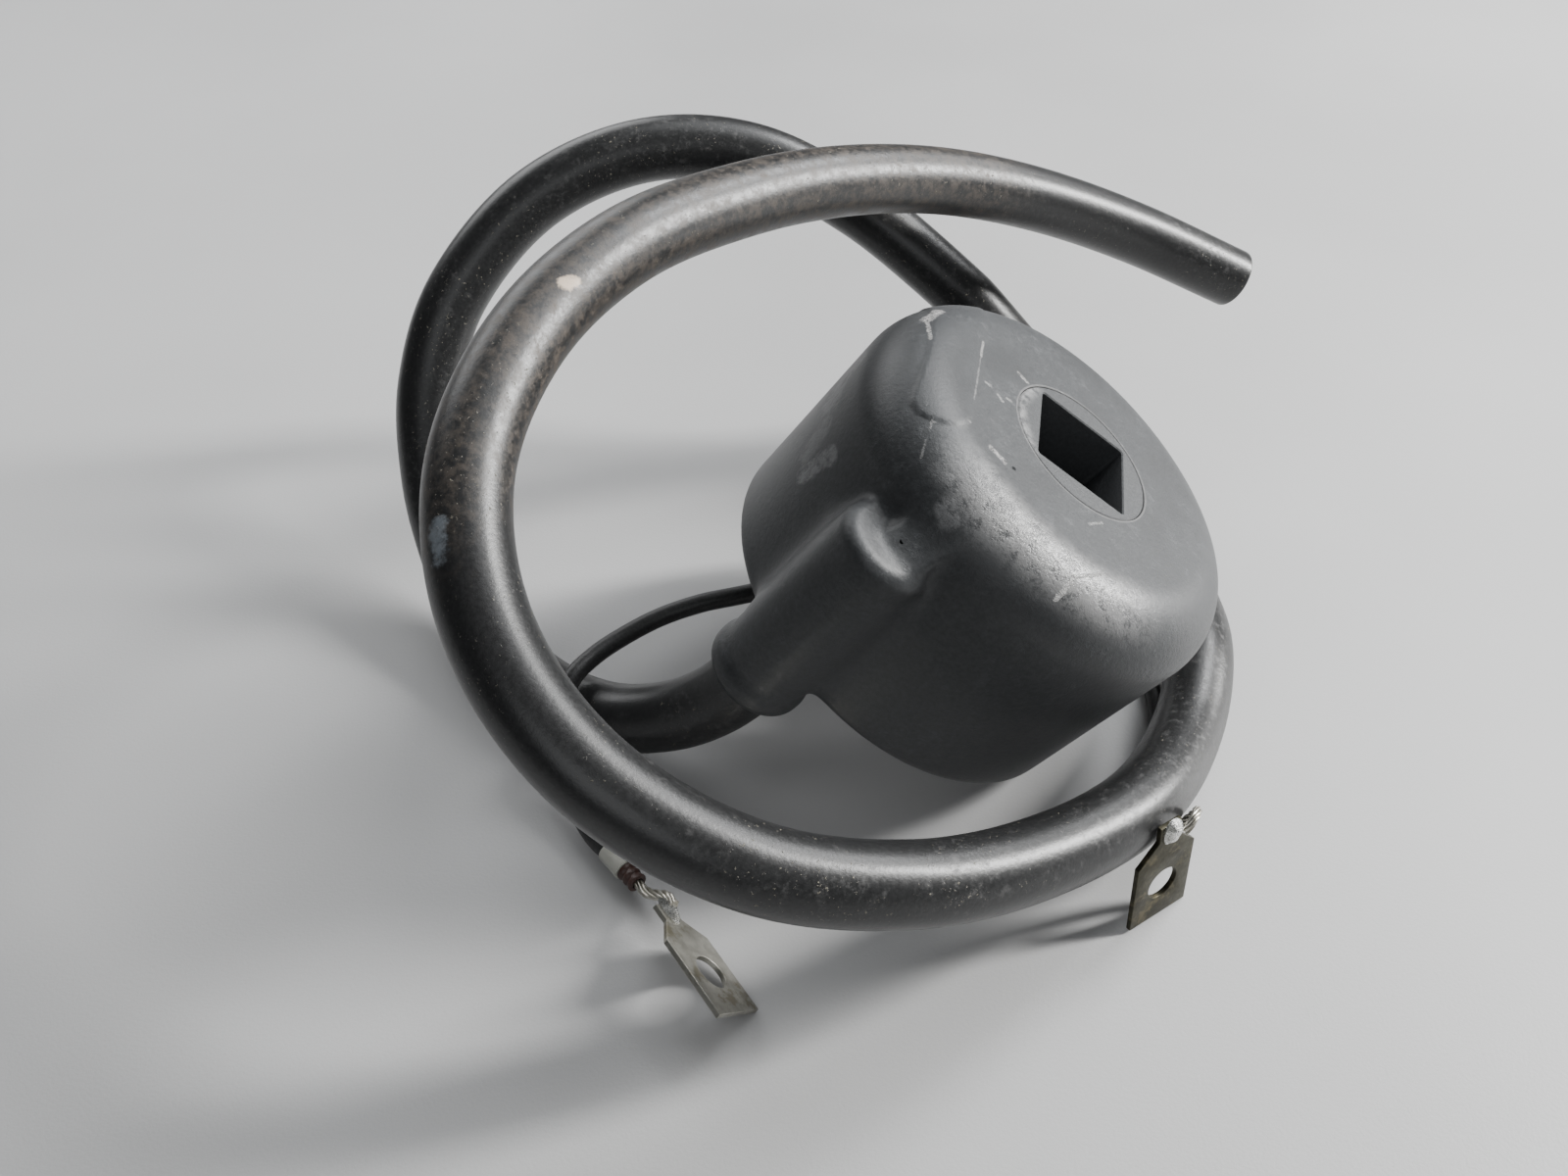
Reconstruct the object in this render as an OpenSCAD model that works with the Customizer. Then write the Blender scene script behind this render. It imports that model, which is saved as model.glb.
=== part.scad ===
// Moulded high-tension coil: a round encapsulated winding with a square core
// window, one thick output lead that curls round the coil and lies on the
// bench, and two thin flying leads that end in flat screw tabs.

/* [Moulded body] */
// Outside diameter of the round body
body_d = 42; // [38:0.5:50]
// Height of the body between its two flat faces
body_h = 25.8; // [24:0.2:32]
// Radius that rounds the front rim
rim_r = 6.2; // [3:0.2:7]
// Small radius on the back edge
back_r = 0.8; // [0.3:0.1:1.5]
// Thickness of the moulding behind each end of the winding
end_wall = 4; // [3.6:0.1:5]

/* [Core window] */
// Side of the square hole that takes the laminated core
window_w = 10; // [8:0.5:10.5]
// Outside diameter of the former that the window runs through
former_d = 15.4; // [15.2:0.1:16]

/* [Lead tower] */
// Diameter of the tower that holds the output lead
tower_d = 9.3; // [9.2:0.1:11]
// Distance from the coil axis to the tower axis
tower_reach = 21.7; // [21:0.1:23]
// Direction of the tower round the coil, in degrees
tower_angle = -126.5; // [-180:0.5:180]
// Depth of the tower's closed end below the front face
tower_drop = 7.7; // [6.5:0.1:8.5]
// Length of the tower that stands past the back face
tower_tail = 3.6; // [2:0.1:8]
// Radius of the web that blends the tower into the body
web_r = 3; // [1.5:0.1:4]

/* [Front pad] */
// Width of the raised pad that runs over the front rim
pad_w = 5.2; // [4:0.1:6]
// Distance of the pad's middle line from the coil axis
pad_reach = 15; // [14:0.1:15.4]
// How far the pad's line runs past the coil axis before its round end
pad_run = 7.1; // [4:0.1:8]
// Height of the pad above the moulding
pad_h = 0.15; // [0.1:0.05:0.3]

/* [Windings] */
// Thickness of the primary winding
primary_t = 3; // [2:0.1:3.4]
// Thickness of the paper between the windings
paper_t = 0.5; // [0.3:0.1:0.8]
// Thickness of the secondary winding
secondary_t = 4.7; // [3.5:0.1:5]
// Thickness of the tape wrapped round the secondary
wrap_t = 0.7; // [0.4:0.1:1]
// Thickness of each end cheek
cheek_t = 1; // [0.6:0.1:1.4]

/* [Leads] */
// Diameter of the output lead
ht_d = 7; // [7:0.1:7.2]
// Diameter of each flying lead
thin_d = 2; // [1.6:0.1:2]

/* [Screw tabs] */
// Width of a tab
tab_w = 7; // [6:0.1:8]
// Length of a tab's square-ended blade
tab_l = 8; // [7:0.1:8]
// Thickness of the tab strip
tab_t = 0.5; // [0.4:0.1:0.6]
// Screw hole in the tab
tab_hole_d = 3.5; // [3:0.1:4]
// Width of the narrow lug that the wire is soldered to
lug_w = 2.5; // [2:0.1:3]

/* [Set-down pose] */
// Angle by which the coil leans, propped on its own lead
lean = 34; // [34:1:34]
// Turn of the coil about its own axis
turn = -7; // [-7:1:-7]

/* [Hidden] */
$fn = 96;
fit = 0.1;                      // clearance between pieces sealed in the moulding
body_r = body_d / 2;
former_r = former_d / 2;
tower_r = tower_d / 2;
tower_top = body_h - tower_drop;
tower_tip_r = 1.3;              // radius that rounds the edge of the tower's end
tower_roof_r = 1.3;             // radius of the hollow between that end and the body
dish_x = 1.3;                   // the dish in that end lies off the tower's axis
dish_ball_r = 4;
dish_depth = 0.25;
gate_x = 0.7;                   // pit in the dish
gate_y = 0.7;
gate_r = 0.25;
gate_depth = 0.5;
web_fade = 4;                   // the web narrows over this height below the end
web_top_r = 1.2;                // radius of the web at the tower's end
collar_step = 0.25;             // the mouth collar stands this far proud
collar_run = 2.4;               // length over which the collar flares out
lead_depth = 12.8;              // how far into the moulding the output lead reaches
pack_r = former_r + primary_t + paper_t + secondary_t + wrap_t + 4 * fit;
contact_r = 2.2;                // brass contact at the bottom of the tower's bore
contact_t = 2.5;
spike_r = 0.6;                  // spike that the output lead is pushed on to
spike_l = 6;
tail_r = 0.45;                  // secondary's lead-out wire
core_r = 0.75;                  // stranded conductor of the output lead
core_l = 6;
joint_r = 0.75;                 // soldered joint of each flying lead
pocket = 0.15;                  // room round a wire, spike or joint
sleeve_d = 2.3;                 // clear sleeve and barrel near the end of lead 1
sleeve_bore = 1.5;
ferrule_d = 2;
ferrule_bore = 1.2;
strands_1_d = 1.1;              // bare strands of the two flying leads
strands_2_d = 0.9;
wind_z0 = end_wall + cheek_t;
wind_z1 = body_h - end_wall - cheek_t;

// Place of the coil on the bench: the middle of its own box lies over the origin
// and its lowest edge touches z = 0.
function lean_x(x, z) = x * cos(lean) + z * sin(lean);
function lean_z(x, z) = z * cos(lean) - x * sin(lean);
tower_x = tower_reach * cos(tower_angle + turn);
mouth_round = 1.1;
box_x1 = lean_x(body_r - rim_r, body_h - rim_r) + rim_r;
box_x0 = lean_x(tower_x - tower_r - collar_step + mouth_round, mouth_round - tower_tail)
         - mouth_round;
box_z0 = lean_z(body_r - back_r, back_r) - back_r;
place = [-(box_x0 + box_x1) / 2, 0, -box_z0];

// A point of the coil's own frame, carried to the bench.
function turned(p) = [p.x * cos(turn) - p.y * sin(turn),
                      p.x * sin(turn) + p.y * cos(turn), p.z];
function leaned(p) = [lean_x(p.x, p.z), p.y, lean_z(p.x, p.z)];
function on_bench(p) = place + leaned(turned(p));

tower_xy = tower_reach * [cos(tower_angle), sin(tower_angle)];
function in_tower(z) = on_bench([tower_xy.x, tower_xy.y, z]);

// Where the two flying leads leave the back face, in the coil's own frame.
lead_1_xy = [-9.4, 1];
lead_2_xy = [6, 10];
thin_depth = 2.5;               // how far each flying lead goes into the moulding

// Route of the output lead: out of the tower, down to the bench on the left,
// up over the back, down behind the coil on the right, and round the front.
ht_route = concat([in_tower(lead_depth), in_tower((lead_depth - tower_tail) / 2),
                   in_tower(-tower_tail)], [
    [-23.7, -15.6, 12.4], [-28.1, -15, 8.8], [-33.4, -13.6, 5.9], [-38.5, -11.5, 4.3],
    [-43.7, -8.5, 3.7], [-48.9, -4.4, 4.1], [-53.5, 0.8, 5.8], [-57.4, 6.8, 9],
    [-60.4, 13.3, 13.4], [-61.5, 20.5, 20.5], [-58.8, 28, 28.5], [-50.8, 36, 36],
    [-39.3, 42, 39.5], [-26.8, 45.5, 38], [-14.3, 45.5, 32], [-2.3, 42.5, 24],
    [3.5, 40.2, 19.3], [17, 31.4, 8.2], [23.2, 21.8, 4.2], [26, 12.2, 3.6],
    [26, 2.1, 5.2], [23.2, -9, 5.5],
    [16.7, -21, 9], [6.7, -30.5, 13], [-4.8, -37.5, 18], [-17.3, -40.5, 23.5],
    [-29.3, -38, 30], [-37.8, -30.5, 36.5], [-41.3, -19.5, 42.5], [-39.3, -6.5, 46.5],
    [-33.3, 6, 48], [-24.8, 18, 46.5], [-15.3, 28, 44], [-4.8, 37, 40],
    [6.7, 43.5, 35], [19.2, 48, 29], [32.7, 50, 22.5]]);

// Route of flying lead 1: off the back face, over the output lead and forward.
lead_1_route = concat([on_bench([lead_1_xy.x, lead_1_xy.y, thin_depth]),
                       on_bench([lead_1_xy.x, lead_1_xy.y, -0.8])], [
    [-16.5, 1.6, 13], [-19.5, 0.7, 11.9], [-23.3, -0.6, 11.6], [-27.3, -2, 11.4],
    [-31.3, -3.8, 10.8], [-34.9, -6.2, 10], [-37.5, -8.9, 9.6], [-39.2, -11.9, 9.2],
    [-39.8, -15, 7.5], [-39.1, -18.4, 5], [-37.4, -21.9, 2.9], [-35.2, -24.9, 2.1],
    [-33.1, -26.9, 2.2]]);

// Route of flying lead 2: off the back face, round behind the coil's lowest edge
// and forward along the inner side of the output lead.
lead_2_route = concat([on_bench([lead_2_xy.x, lead_2_xy.y, thin_depth]),
                       on_bench([lead_2_xy.x, lead_2_xy.y, -0.8])], [
    [-2, 9.9, 4.8], [-4.2, 12, 2.6], [-4.5, 15, 1.4], [-2.5, 18, 1.2], [1.7, 19.8, 1.2],
    [6.7, 19.8, 1.2], [11.5, 18, 1.2], [15.9, 14.3, 1.2], [19.3, 9.2, 1.2], [21.2, 3.5, 1.2],
    [21.8, -2.5, 1.2], [21.4, -8, 1.2], [20.3, -13, 1.4], [19.8, -16.6, 2.2],
    [20, -18.9, 3.5]]);

// Small pieces in line with the end of lead 1, and the bare strands of both. Those of
// lead 1 run through the sleeve and the barrel.
sleeve_1_route = [[-33.1, -26.9, 2.2], [-31, -28.9, 2.3]];
ferrule_1_route = [[-31, -28.9, 2.3], [-29.53, -30.3, 2.37]];
strands_1_route = concat([[-33.1, -26.9, 2.2]], ferrule_1_route, [
    [-28.69, -31.1, 2.41], [-27.5, -31.9, 3.4], [-26.2, -32.75, 4.75], [-25.4, -33.7, 5]]);
strands_2_route = [[20, -18.9, 3.5], [20.08, -19.82, 4.02], [20.8, -21.4, 6.6],
                   [21.1, -22.4, 9.4], [20.9, -23.3, 11.3], [20.3, -24.6, 11.9],
                   [19.5, -25.6, 11.1]];

tab_1_pos = [-23.9, -36.5, 3.9];
tab_1_turn = [11, 51, 51];
tab_2_pos = [18.4, -26, 8.1];
tab_2_turn = [80, 2, 38];
taper_l = 2.2;                  // the tab narrows to its lug over this length
lug_l = 1.8;
hole_y = -0.46 * tab_l;         // middle of the screw hole, from the tab's shoulder
bead_r0 = 0.7;                  // solder bead at its thin and its thick end
bead_r1 = 0.95;

// ---- helpers ----

module in_coil() {
    translate(place) rotate([0, lean, 0]) rotate([0, 0, turn]) children();
}

module at_tower() {
    rotate([0, 0, tower_angle]) translate([tower_reach, 0, 0]) children();
}

module ring(r_out, r_in, z0, z1) {
    translate([0, 0, z0]) difference() {
        cylinder(r = r_out, h = z1 - z0);
        translate([0, 0, -1]) cylinder(r = r_in, h = z1 - z0 + 2);
    }
}

function unit(v) = v / norm(v);
function arc(c, r, a0, a1, n) = [for (i = [0:n]) c + r * [cos(a0 + (a1 - a0) * i / n),
                                                        sin(a0 + (a1 - a0) * i / n)]];

// Direction of a route at point i.
function heading(path, i) = unit(path[min(i + 1, len(path) - 1)] - path[max(i - 1, 0)]);

// A normal for every point, carried along so that the tube doesn't twist.
function normals(path, i = 0, list = []) =
    i == len(path) ? list :
    let (t = heading(path, i),
         seed = i == 0 ? (abs(t.z) < 0.9 ? [0, 0, 1] : [1, 0, 0]) : list[i - 1],
         n = unit(seed - (seed * t) * t))
    normals(path, i + 1, concat(list, [n]));

// A round cord of diameter d swept along a route, one ring to each route point.
module swept_cord(path, d, sides) {
    rings = len(path);
    across = normals(path);
    polyhedron(
        points = [for (i = [0:rings - 1])
                  let (t = heading(path, i), up = cross(t, across[i]))
                  for (k = [0:sides - 1])
                  path[i] + d / 2 * (cos(360 * k / sides) * across[i]
                                     + sin(360 * k / sides) * up)],
        faces = concat(
            [[for (k = [0:sides - 1]) k]],
            [for (i = [0:rings - 2], k = [0:sides - 1])
                let (next = (k + 1) % sides)
                [i * sides + k, (i + 1) * sides + k, (i + 1) * sides + next, i * sides + next]],
            [[for (k = [sides - 1:-1:0]) (rings - 1) * sides + k]]));
}

// ---- the moulding ----

module body_solid() {
    rotate_extrude()
        polygon(concat([[0, 0]],
                       arc([body_r - back_r, back_r], back_r, -90, 0, 8),
                       arc([body_r - rim_r, body_h - rim_r], rim_r, 0, 90, 24),
                       [[0, body_h]]));
}

// The low pad with a round end: a strip of a slightly larger body.
module front_pad() {
    intersection() {
        rotate_extrude()
            polygon(concat([[0, body_h - rim_r]],
                           arc([body_r - rim_r, body_h - rim_r], rim_r + pad_h, 0, 90, 24),
                           [[0, body_h + pad_h]]));
        translate([-pad_reach, -pad_run, body_h - rim_r]) {
            cylinder(d = pad_w, h = 2 * rim_r);
            translate([-pad_w / 2, 0, 0]) cube([pad_w, pad_run + body_r, 2 * rim_r]);
        }
    }
}

// Outline of the tower and its web at one level, seen along the coil axis with
// the tower on +X. The web circles, of radius w, touch the body and the tower.
function tower_outline(reach, r, w) =
    let (root = body_r - 0.05, inner = body_r - 4,
         fx = (pow(root + w, 2) - pow(r + w, 2) + reach * reach) / (2 * reach),
         fy = sqrt(pow(root + w, 2) - fx * fx),
         to_body = atan2(fy, fx),
         to_tower = atan2(fy, fx - reach),
         lower = arc([fx, -fy], w, 180 - to_body, 180 - to_tower, 8),
         nose = arc([reach, 0], r, -to_tower, to_tower, 28),
         upper = arc([fx, fy], w, 180 + to_tower, 180 + to_body, 8))
    concat([[inner * cos(to_body), -inner * sin(to_body)]], lower,
           [for (i = [1:27]) nose[i]], upper,
           [[inner * cos(to_body), inner * sin(to_body)]]);

// Levels of the loft, each [height, reach, tower radius, web radius]: the straight
// shaft, the web narrowing, the rounded edge, and the hollow up to the body.
shaft_top = tower_top - tower_tip_r;
tip_r = tower_r - tower_tip_r;
web_mid_r = (web_r + 2 * web_top_r) / 3;
tower_levels = concat(
    [[0, tower_reach, tower_r, web_r]],
    [for (i = [0:5])
        let (share = i / 5)
        [shaft_top - web_fade * (1 - share), tower_reach, tower_r,
         web_mid_r + (web_r - web_mid_r) * (1 + cos(180 * share)) / 2]],
    [for (i = [1:5])
        let (a = 18 * i)
        [shaft_top + tower_tip_r * sin(a), tower_reach, tip_r + tower_tip_r * cos(a),
         web_mid_r + (web_top_r - web_mid_r) * i / 5]],
    [for (i = [0:5])
        let (a = 18 * i)
        [tower_top + tower_roof_r * (1 - cos(a)),
         body_r - 0.03 - tip_r + tower_roof_r * (1 - sin(a)), tip_r, web_top_r]]);

// The tower and web as a loft through those levels.
module tower_loft() {
    outlines = [for (l = tower_levels) [for (p = tower_outline(l[1], l[2], l[3])) [p.x, p.y, l[0]]]];
    count = len(outlines[0]);
    last = len(tower_levels) - 1;
    rotate([0, 0, tower_angle])
        polyhedron(
            points = [for (o = outlines) for (p = o) p],
            faces = concat(
                [[for (k = [0:count - 1]) k]],
                [for (i = [0:last - 1], k = [0:count - 1])
                    let (next = (k + 1) % count)
                    [i * count + k, (i + 1) * count + k, (i + 1) * count + next,
                     i * count + next]],
                [[for (k = [count - 1:-1:0]) last * count + k]]));
}

// The round mouth of the tower, flared into a rolled lip.
module tower_mouth() {
    collar_r = tower_r + collar_step;
    at_tower() rotate_extrude()
        polygon(concat([[0, -tower_tail]],
                       arc([collar_r - mouth_round, mouth_round - tower_tail], mouth_round,
                           -90, 0, 10),
                       [[tower_r + 0.02, mouth_round - tower_tail + collar_run],
                        [tower_r - 0.3, mouth_round - tower_tail + collar_run],
                        [tower_r - 0.3, 3], [0, 3]]));
}

// The shallow dish in the tower's flat end, with the small pit left by the mould's gate.
module tip_dish() {
    intersection() {
        translate([dish_x, 0, tower_top + dish_ball_r - dish_depth])
            sphere(r = dish_ball_r, $fn = 48);
        translate([dish_x, 0, tower_top - 1]) cylinder(r = dish_ball_r / 2, h = 1.05, $fn = 24);
    }
    translate([gate_x, gate_y, tower_top - gate_depth]) cylinder(r = gate_r, h = 1, $fn = 20);
}

module coil_case() {
    color("#4a4b4e") in_coil() difference() {
        union() {
            body_solid();
            front_pad();
            tower_loft();
            tower_mouth();
        }
        at_tower() tip_dish();
        translate([0, 0, -1]) cylinder(r = former_r + fit / 2, h = body_h + 2);
        translate([0, 0, end_wall - fit]) cylinder(r = pack_r + fit, h = body_h - 2 * end_wall + 2 * fit);
        at_tower() {
            translate([0, 0, -tower_tail - 1])
                cylinder(d = ht_d + 2 * fit, h = lead_depth + tower_tail + 1 + fit);
            cylinder(r = contact_r + fit, h = lead_depth + contact_t + 2 * fit);
        }
        tail_path(tail_r + pocket);
        for (p = [lead_1_xy, lead_2_xy]) translate([p.x, p.y, -1]) {
            cylinder(d = thin_d + fit, h = 1 + thin_depth + fit);
            cylinder(r = joint_r + pocket, h = end_wall + 1);
        }
    }
}

// ---- the winding ----

module core_former() {
    color("#55565a") in_coil() difference() {
        cylinder(r = former_r, h = body_h);
        translate([-window_w / 2, -window_w / 2, -1]) cube([window_w, window_w, body_h + 2]);
    }
}

module cheek(z) {
    color("#8a6a45") in_coil() ring(pack_r, former_r + fit, z, z + cheek_t);
}

module front_cheek() {
    cheek(wind_z1);
}

module rear_cheek() {
    color("#8a6a45") in_coil() difference() {
        ring(pack_r, former_r + fit, end_wall, wind_z0);
        for (p = [lead_1_xy, lead_2_xy]) translate([p.x, p.y, 0])
            cylinder(r = joint_r + pocket, h = body_h / 2);
    }
}

module primary_winding() {
    color("#b4692f") in_coil() ring(former_r + primary_t, former_r + fit, wind_z0 + fit, wind_z1 - fit);
}

module winding_paper() {
    inside = former_r + primary_t + fit;
    color("#d8c79a") in_coil() ring(inside + paper_t, inside, wind_z0 + fit, wind_z1 - fit);
}

module secondary_winding() {
    inside = former_r + primary_t + paper_t + 2 * fit;
    color("#a85a2a") in_coil() ring(inside + secondary_t, inside, wind_z0 + fit, wind_z1 - fit);
}

module outer_wrap() {
    color("#c9b98b") in_coil() difference() {
        ring(pack_r, pack_r - wrap_t, wind_z0 + fit, wind_z1 - fit);
        tail_path(tail_r + pocket);
    }
}

// The secondary's lead-out runs straight from the winding to the tower contact.
module tail_path(r) {
    from = pack_r - wrap_t - fit / 2;
    translate([0, 0, lead_depth + 1.4]) rotate([0, 0, tower_angle]) translate([from, 0, 0])
        rotate([0, 90, 0]) cylinder(r = r, h = tower_reach - contact_r - from, $fn = 24);
}

module ht_tail() {
    color("#c98a4a") in_coil() tail_path(tail_r);
}

module ht_contact() {
    color("#c8a24a") in_coil() at_tower() translate([0, 0, lead_depth + fit])
        cylinder(r = contact_r, h = contact_t);
}

module ht_spike() {
    color("#c9c9c4") in_coil() at_tower() spike(spike_r);
}

module spike(r) {
    point_l = spike_l / 3;
    translate([0, 0, lead_depth - spike_l]) cylinder(r1 = r / 3, r2 = r, h = point_l);
    translate([0, 0, lead_depth - spike_l + point_l])
        cylinder(r = r, h = spike_l - point_l + fit);
}

// ---- the output lead ----

module end_core(r, depth, proud) {
    last = len(ht_route) - 1;
    t = unit(ht_route[last] - ht_route[last - 1]);
    translate(ht_route[last] - depth * t)
        rotate([0, acos(t.z), atan2(t.y, t.x)])
            cylinder(r = r, h = depth + proud, $fn = 24);
}

module ht_lead() {
    color("#2c2d30") difference() {
        swept_cord(ht_route, ht_d, 12);
        in_coil() at_tower() spike(spike_r + fit);
        end_core(core_r + fit / 2, core_l + fit, 1);
    }
}

module ht_conductor() {
    color("#b87a4b") end_core(core_r, core_l, 0.2);
}

// ---- the flying leads and their tabs ----

module flying_lead_1() {
    color("#242527") swept_cord(lead_1_route, thin_d, 8);
}

module flying_lead_2() {
    color("#242527") swept_cord(lead_2_route, thin_d, 8);
}

module lead_joint(p) {
    color("#c7c9cb") in_coil() translate([p.x, p.y, thin_depth])
        cylinder(r = joint_r, h = wind_z0 - thin_depth);
}

module lead_joint_1() {
    lead_joint(lead_1_xy);
}

module lead_joint_2() {
    lead_joint(lead_2_xy);
}

// A short tube along a straight route, open at both ends.
module open_tube(path, d, bore) {
    way = unit(path[1] - path[0]);
    difference() {
        swept_cord(path, d, 12);
        swept_cord([path[0] - way, path[1] + way], bore, 12);
    }
}

module lead_sleeve() {
    color("#d9dad3") open_tube(sleeve_1_route, sleeve_d, sleeve_bore);
}

module lead_ferrule() {
    color("#3a2f2b") open_tube(ferrule_1_route, ferrule_d, ferrule_bore);
}

module bare_strands_1() {
    color("#cfcdc4") swept_cord(strands_1_route, strands_1_d, 8);
}

module bare_strands_2() {
    color("#cfcdc4") swept_cord(strands_2_route, strands_2_d, 8);
}

module tab_outline() {
    polygon([[-tab_w / 2, -tab_l], [tab_w / 2, -tab_l], [tab_w / 2, 0],
             [lug_w / 2, taper_l], [lug_w / 2, taper_l + lug_l],
             [-lug_w / 2, taper_l + lug_l], [-lug_w / 2, taper_l], [-tab_w / 2, 0]]);
}

module screw_tab(pos, angles) {
    color("#8b8d86") translate(pos) rotate(angles) difference() {
        translate([0, 0, -tab_t / 2]) linear_extrude(tab_t) tab_outline();
        translate([0, hole_y, -tab_t]) cylinder(d = tab_hole_d, h = 2 * tab_t);
    }
}

module screw_tab_1() {
    screw_tab(tab_1_pos, tab_1_turn);
}

module screw_tab_2() {
    screw_tab(tab_2_pos, tab_2_turn);
}

// A solder bead on the face of a tab's lug.
module solder_bead(pos, angles) {
    color("#d5d7d6") translate(pos) rotate(angles) difference() {
        hull() {
            translate([0, taper_l + 0.4, tab_t / 2]) sphere(r = bead_r0, $fn = 20);
            translate([0, taper_l + lug_l - 0.4, tab_t / 2]) sphere(r = bead_r1, $fn = 20);
        }
        translate([-tab_w / 2, 0, tab_t / 2 - 2]) cube([tab_w, taper_l + lug_l + 2, 2]);
    }
}

module solder_joint_1() {
    difference() {
        solder_bead(tab_1_pos, tab_1_turn);
        bare_strands_1();
    }
}

module solder_joint_2() {
    difference() {
        solder_bead(tab_2_pos, tab_2_turn);
        bare_strands_2();
    }
}

coil_case();
core_former();
front_cheek();
rear_cheek();
primary_winding();
winding_paper();
secondary_winding();
outer_wrap();
ht_tail();
ht_contact();
ht_spike();
ht_lead();
ht_conductor();
flying_lead_1();
flying_lead_2();
lead_joint_1();
lead_joint_2();
lead_sleeve();
lead_ferrule();
bare_strands_1();
bare_strands_2();
solder_joint_1();
solder_joint_2();
screw_tab_1();
screw_tab_2();
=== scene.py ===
# %% [markdown]
# # A moulded high-tension coil and its leads
#
# The object is the ignition coil of a small engine: a round moulding with a square
# window for the iron core, a tower that a thick output lead comes out of, and two
# thin flying leads with screw tabs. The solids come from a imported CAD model. This
# notebook dresses them: it makes the visible surfaces in meshes and node trees, and
# says at each step why the step is made the way it is.

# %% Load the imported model
import math

import bmesh
import bpy
import numpy as np
from mathutils import Matrix, Vector


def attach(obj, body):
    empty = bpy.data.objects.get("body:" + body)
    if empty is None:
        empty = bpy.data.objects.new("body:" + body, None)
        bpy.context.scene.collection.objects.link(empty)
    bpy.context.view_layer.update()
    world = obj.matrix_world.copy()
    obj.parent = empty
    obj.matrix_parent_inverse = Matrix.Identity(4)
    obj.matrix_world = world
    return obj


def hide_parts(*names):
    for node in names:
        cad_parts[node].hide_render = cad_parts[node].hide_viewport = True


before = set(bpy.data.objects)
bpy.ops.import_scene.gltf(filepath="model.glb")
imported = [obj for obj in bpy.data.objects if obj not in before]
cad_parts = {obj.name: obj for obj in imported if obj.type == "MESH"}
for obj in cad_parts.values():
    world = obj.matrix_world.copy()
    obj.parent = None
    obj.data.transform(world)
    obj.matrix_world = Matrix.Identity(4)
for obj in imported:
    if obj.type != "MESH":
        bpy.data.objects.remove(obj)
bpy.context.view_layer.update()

MM = 0.001

# %% [markdown]
# ## The sizes
#
# A maker would read these from the drawing. They are the same values as the solids
# were made from, in millimetres, so that each mesh lies on its solid. The coil leans
# on its own lead, so one matrix carries everything from the coil's own frame, where
# its axis is Z, to the bench.

# %% Sizes of the moulding and its place on the bench
BODY_R, BODY_H = 21.0, 25.8
RIM_R, BACK_R = 6.2, 0.8
END_WALL = 4.0
WINDOW, FORMER_R = 10.0, 7.7
TOWER_R, TOWER_REACH, TOWER_ANGLE = 4.65, 21.7, math.radians(-126.5)
TOWER_TOP, TOWER_TAIL, TIP_R = 18.1, 3.6, 1.3
COLLAR_R, MOUTH_R = 4.9, 1.1
PACK_R = 17.0
HT_R, THIN_R = 3.5, 1.0
LEAD_DEPTH, CONTACT_R, CONTACT_T = 12.8, 2.2, 2.5
THIN_DEPTH, JOINT_R = 2.5, 0.75
FIT = 0.1
LEAN, TURN = math.radians(34), math.radians(-7)
LEAD_XY = ((-9.4, 1.0), (6.0, 10.0))


def place_of_coil():
    """Where the middle of the back face stands, so that the coil touches the bench."""
    def lean_x(x, z):
        return x * math.cos(LEAN) + z * math.sin(LEAN)

    tower_x = TOWER_REACH * math.cos(TOWER_ANGLE + TURN)
    right = lean_x(BODY_R - RIM_R, BODY_H - RIM_R) + RIM_R
    left = lean_x(tower_x - COLLAR_R + MOUTH_R, MOUTH_R - TOWER_TAIL) - MOUTH_R
    low = BACK_R * math.cos(LEAN) - (BODY_R - BACK_R) * math.sin(LEAN) - BACK_R
    return Vector((-(left + right) / 2, 0, -low))


PLACE = place_of_coil()
COIL = Matrix.Translation(PLACE) @ Matrix.Rotation(LEAN, 4, "Y") @ Matrix.Rotation(TURN, 4, "Z")
TOWER = COIL @ Matrix.Rotation(TOWER_ANGLE, 4, "Z") @ Matrix.Translation((TOWER_REACH, 0, 0))
print("coil stands at", [round(v, 2) for v in PLACE])


def on_bench(points, matrix=COIL):
    """Points of the coil's own frame, in mm, carried to the bench, still in mm."""
    m = np.array(matrix)
    return np.asarray(points, float) @ m[:3, :3].T + m[:3, 3]


# %% [markdown]
# ## The camera
#
# The camera stands about 90 mm in front of the coil and 103 mm above the
# bench and looks down by 45 degrees, through a wide 28 mm lens, as when a small part
# is held close to a pocket camera.

# %% Camera
def in_scene(name, data):
    """A new object that holds this data, linked to the scene."""
    thing = bpy.data.objects.new(name, data)
    bpy.context.scene.collection.objects.link(thing)
    return thing


eye = bpy.data.cameras.new("bench_camera")
eye.lens, eye.sensor_width = 28, 36
eye.clip_start, eye.clip_end = 0.005, 10
camera = in_scene("bench_camera", eye)
camera.location = Vector((-9.9, -90, 102.95)) * MM
camera.rotation_euler = (math.radians(45), 0, math.radians(5.6))
bpy.context.scene.camera = camera
print("camera at", [round(v / MM, 1) for v in camera.location])

# %% [markdown]
# ## Lights and the bench
#
# The light of a room comes from its windows, its walls and its ceiling, so each is an
# area light: size sets how soft its shadow is. A tall narrow window to the right
# gives the sharp shadows and the long highlights, a second one behind it doubles the
# shadow's edge, and the wall and the ceiling fill in. A single big light would be
# quicker to set, but it leaves no sharp edge in the shadows. The bench is a plain
# pale sheet.

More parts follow.
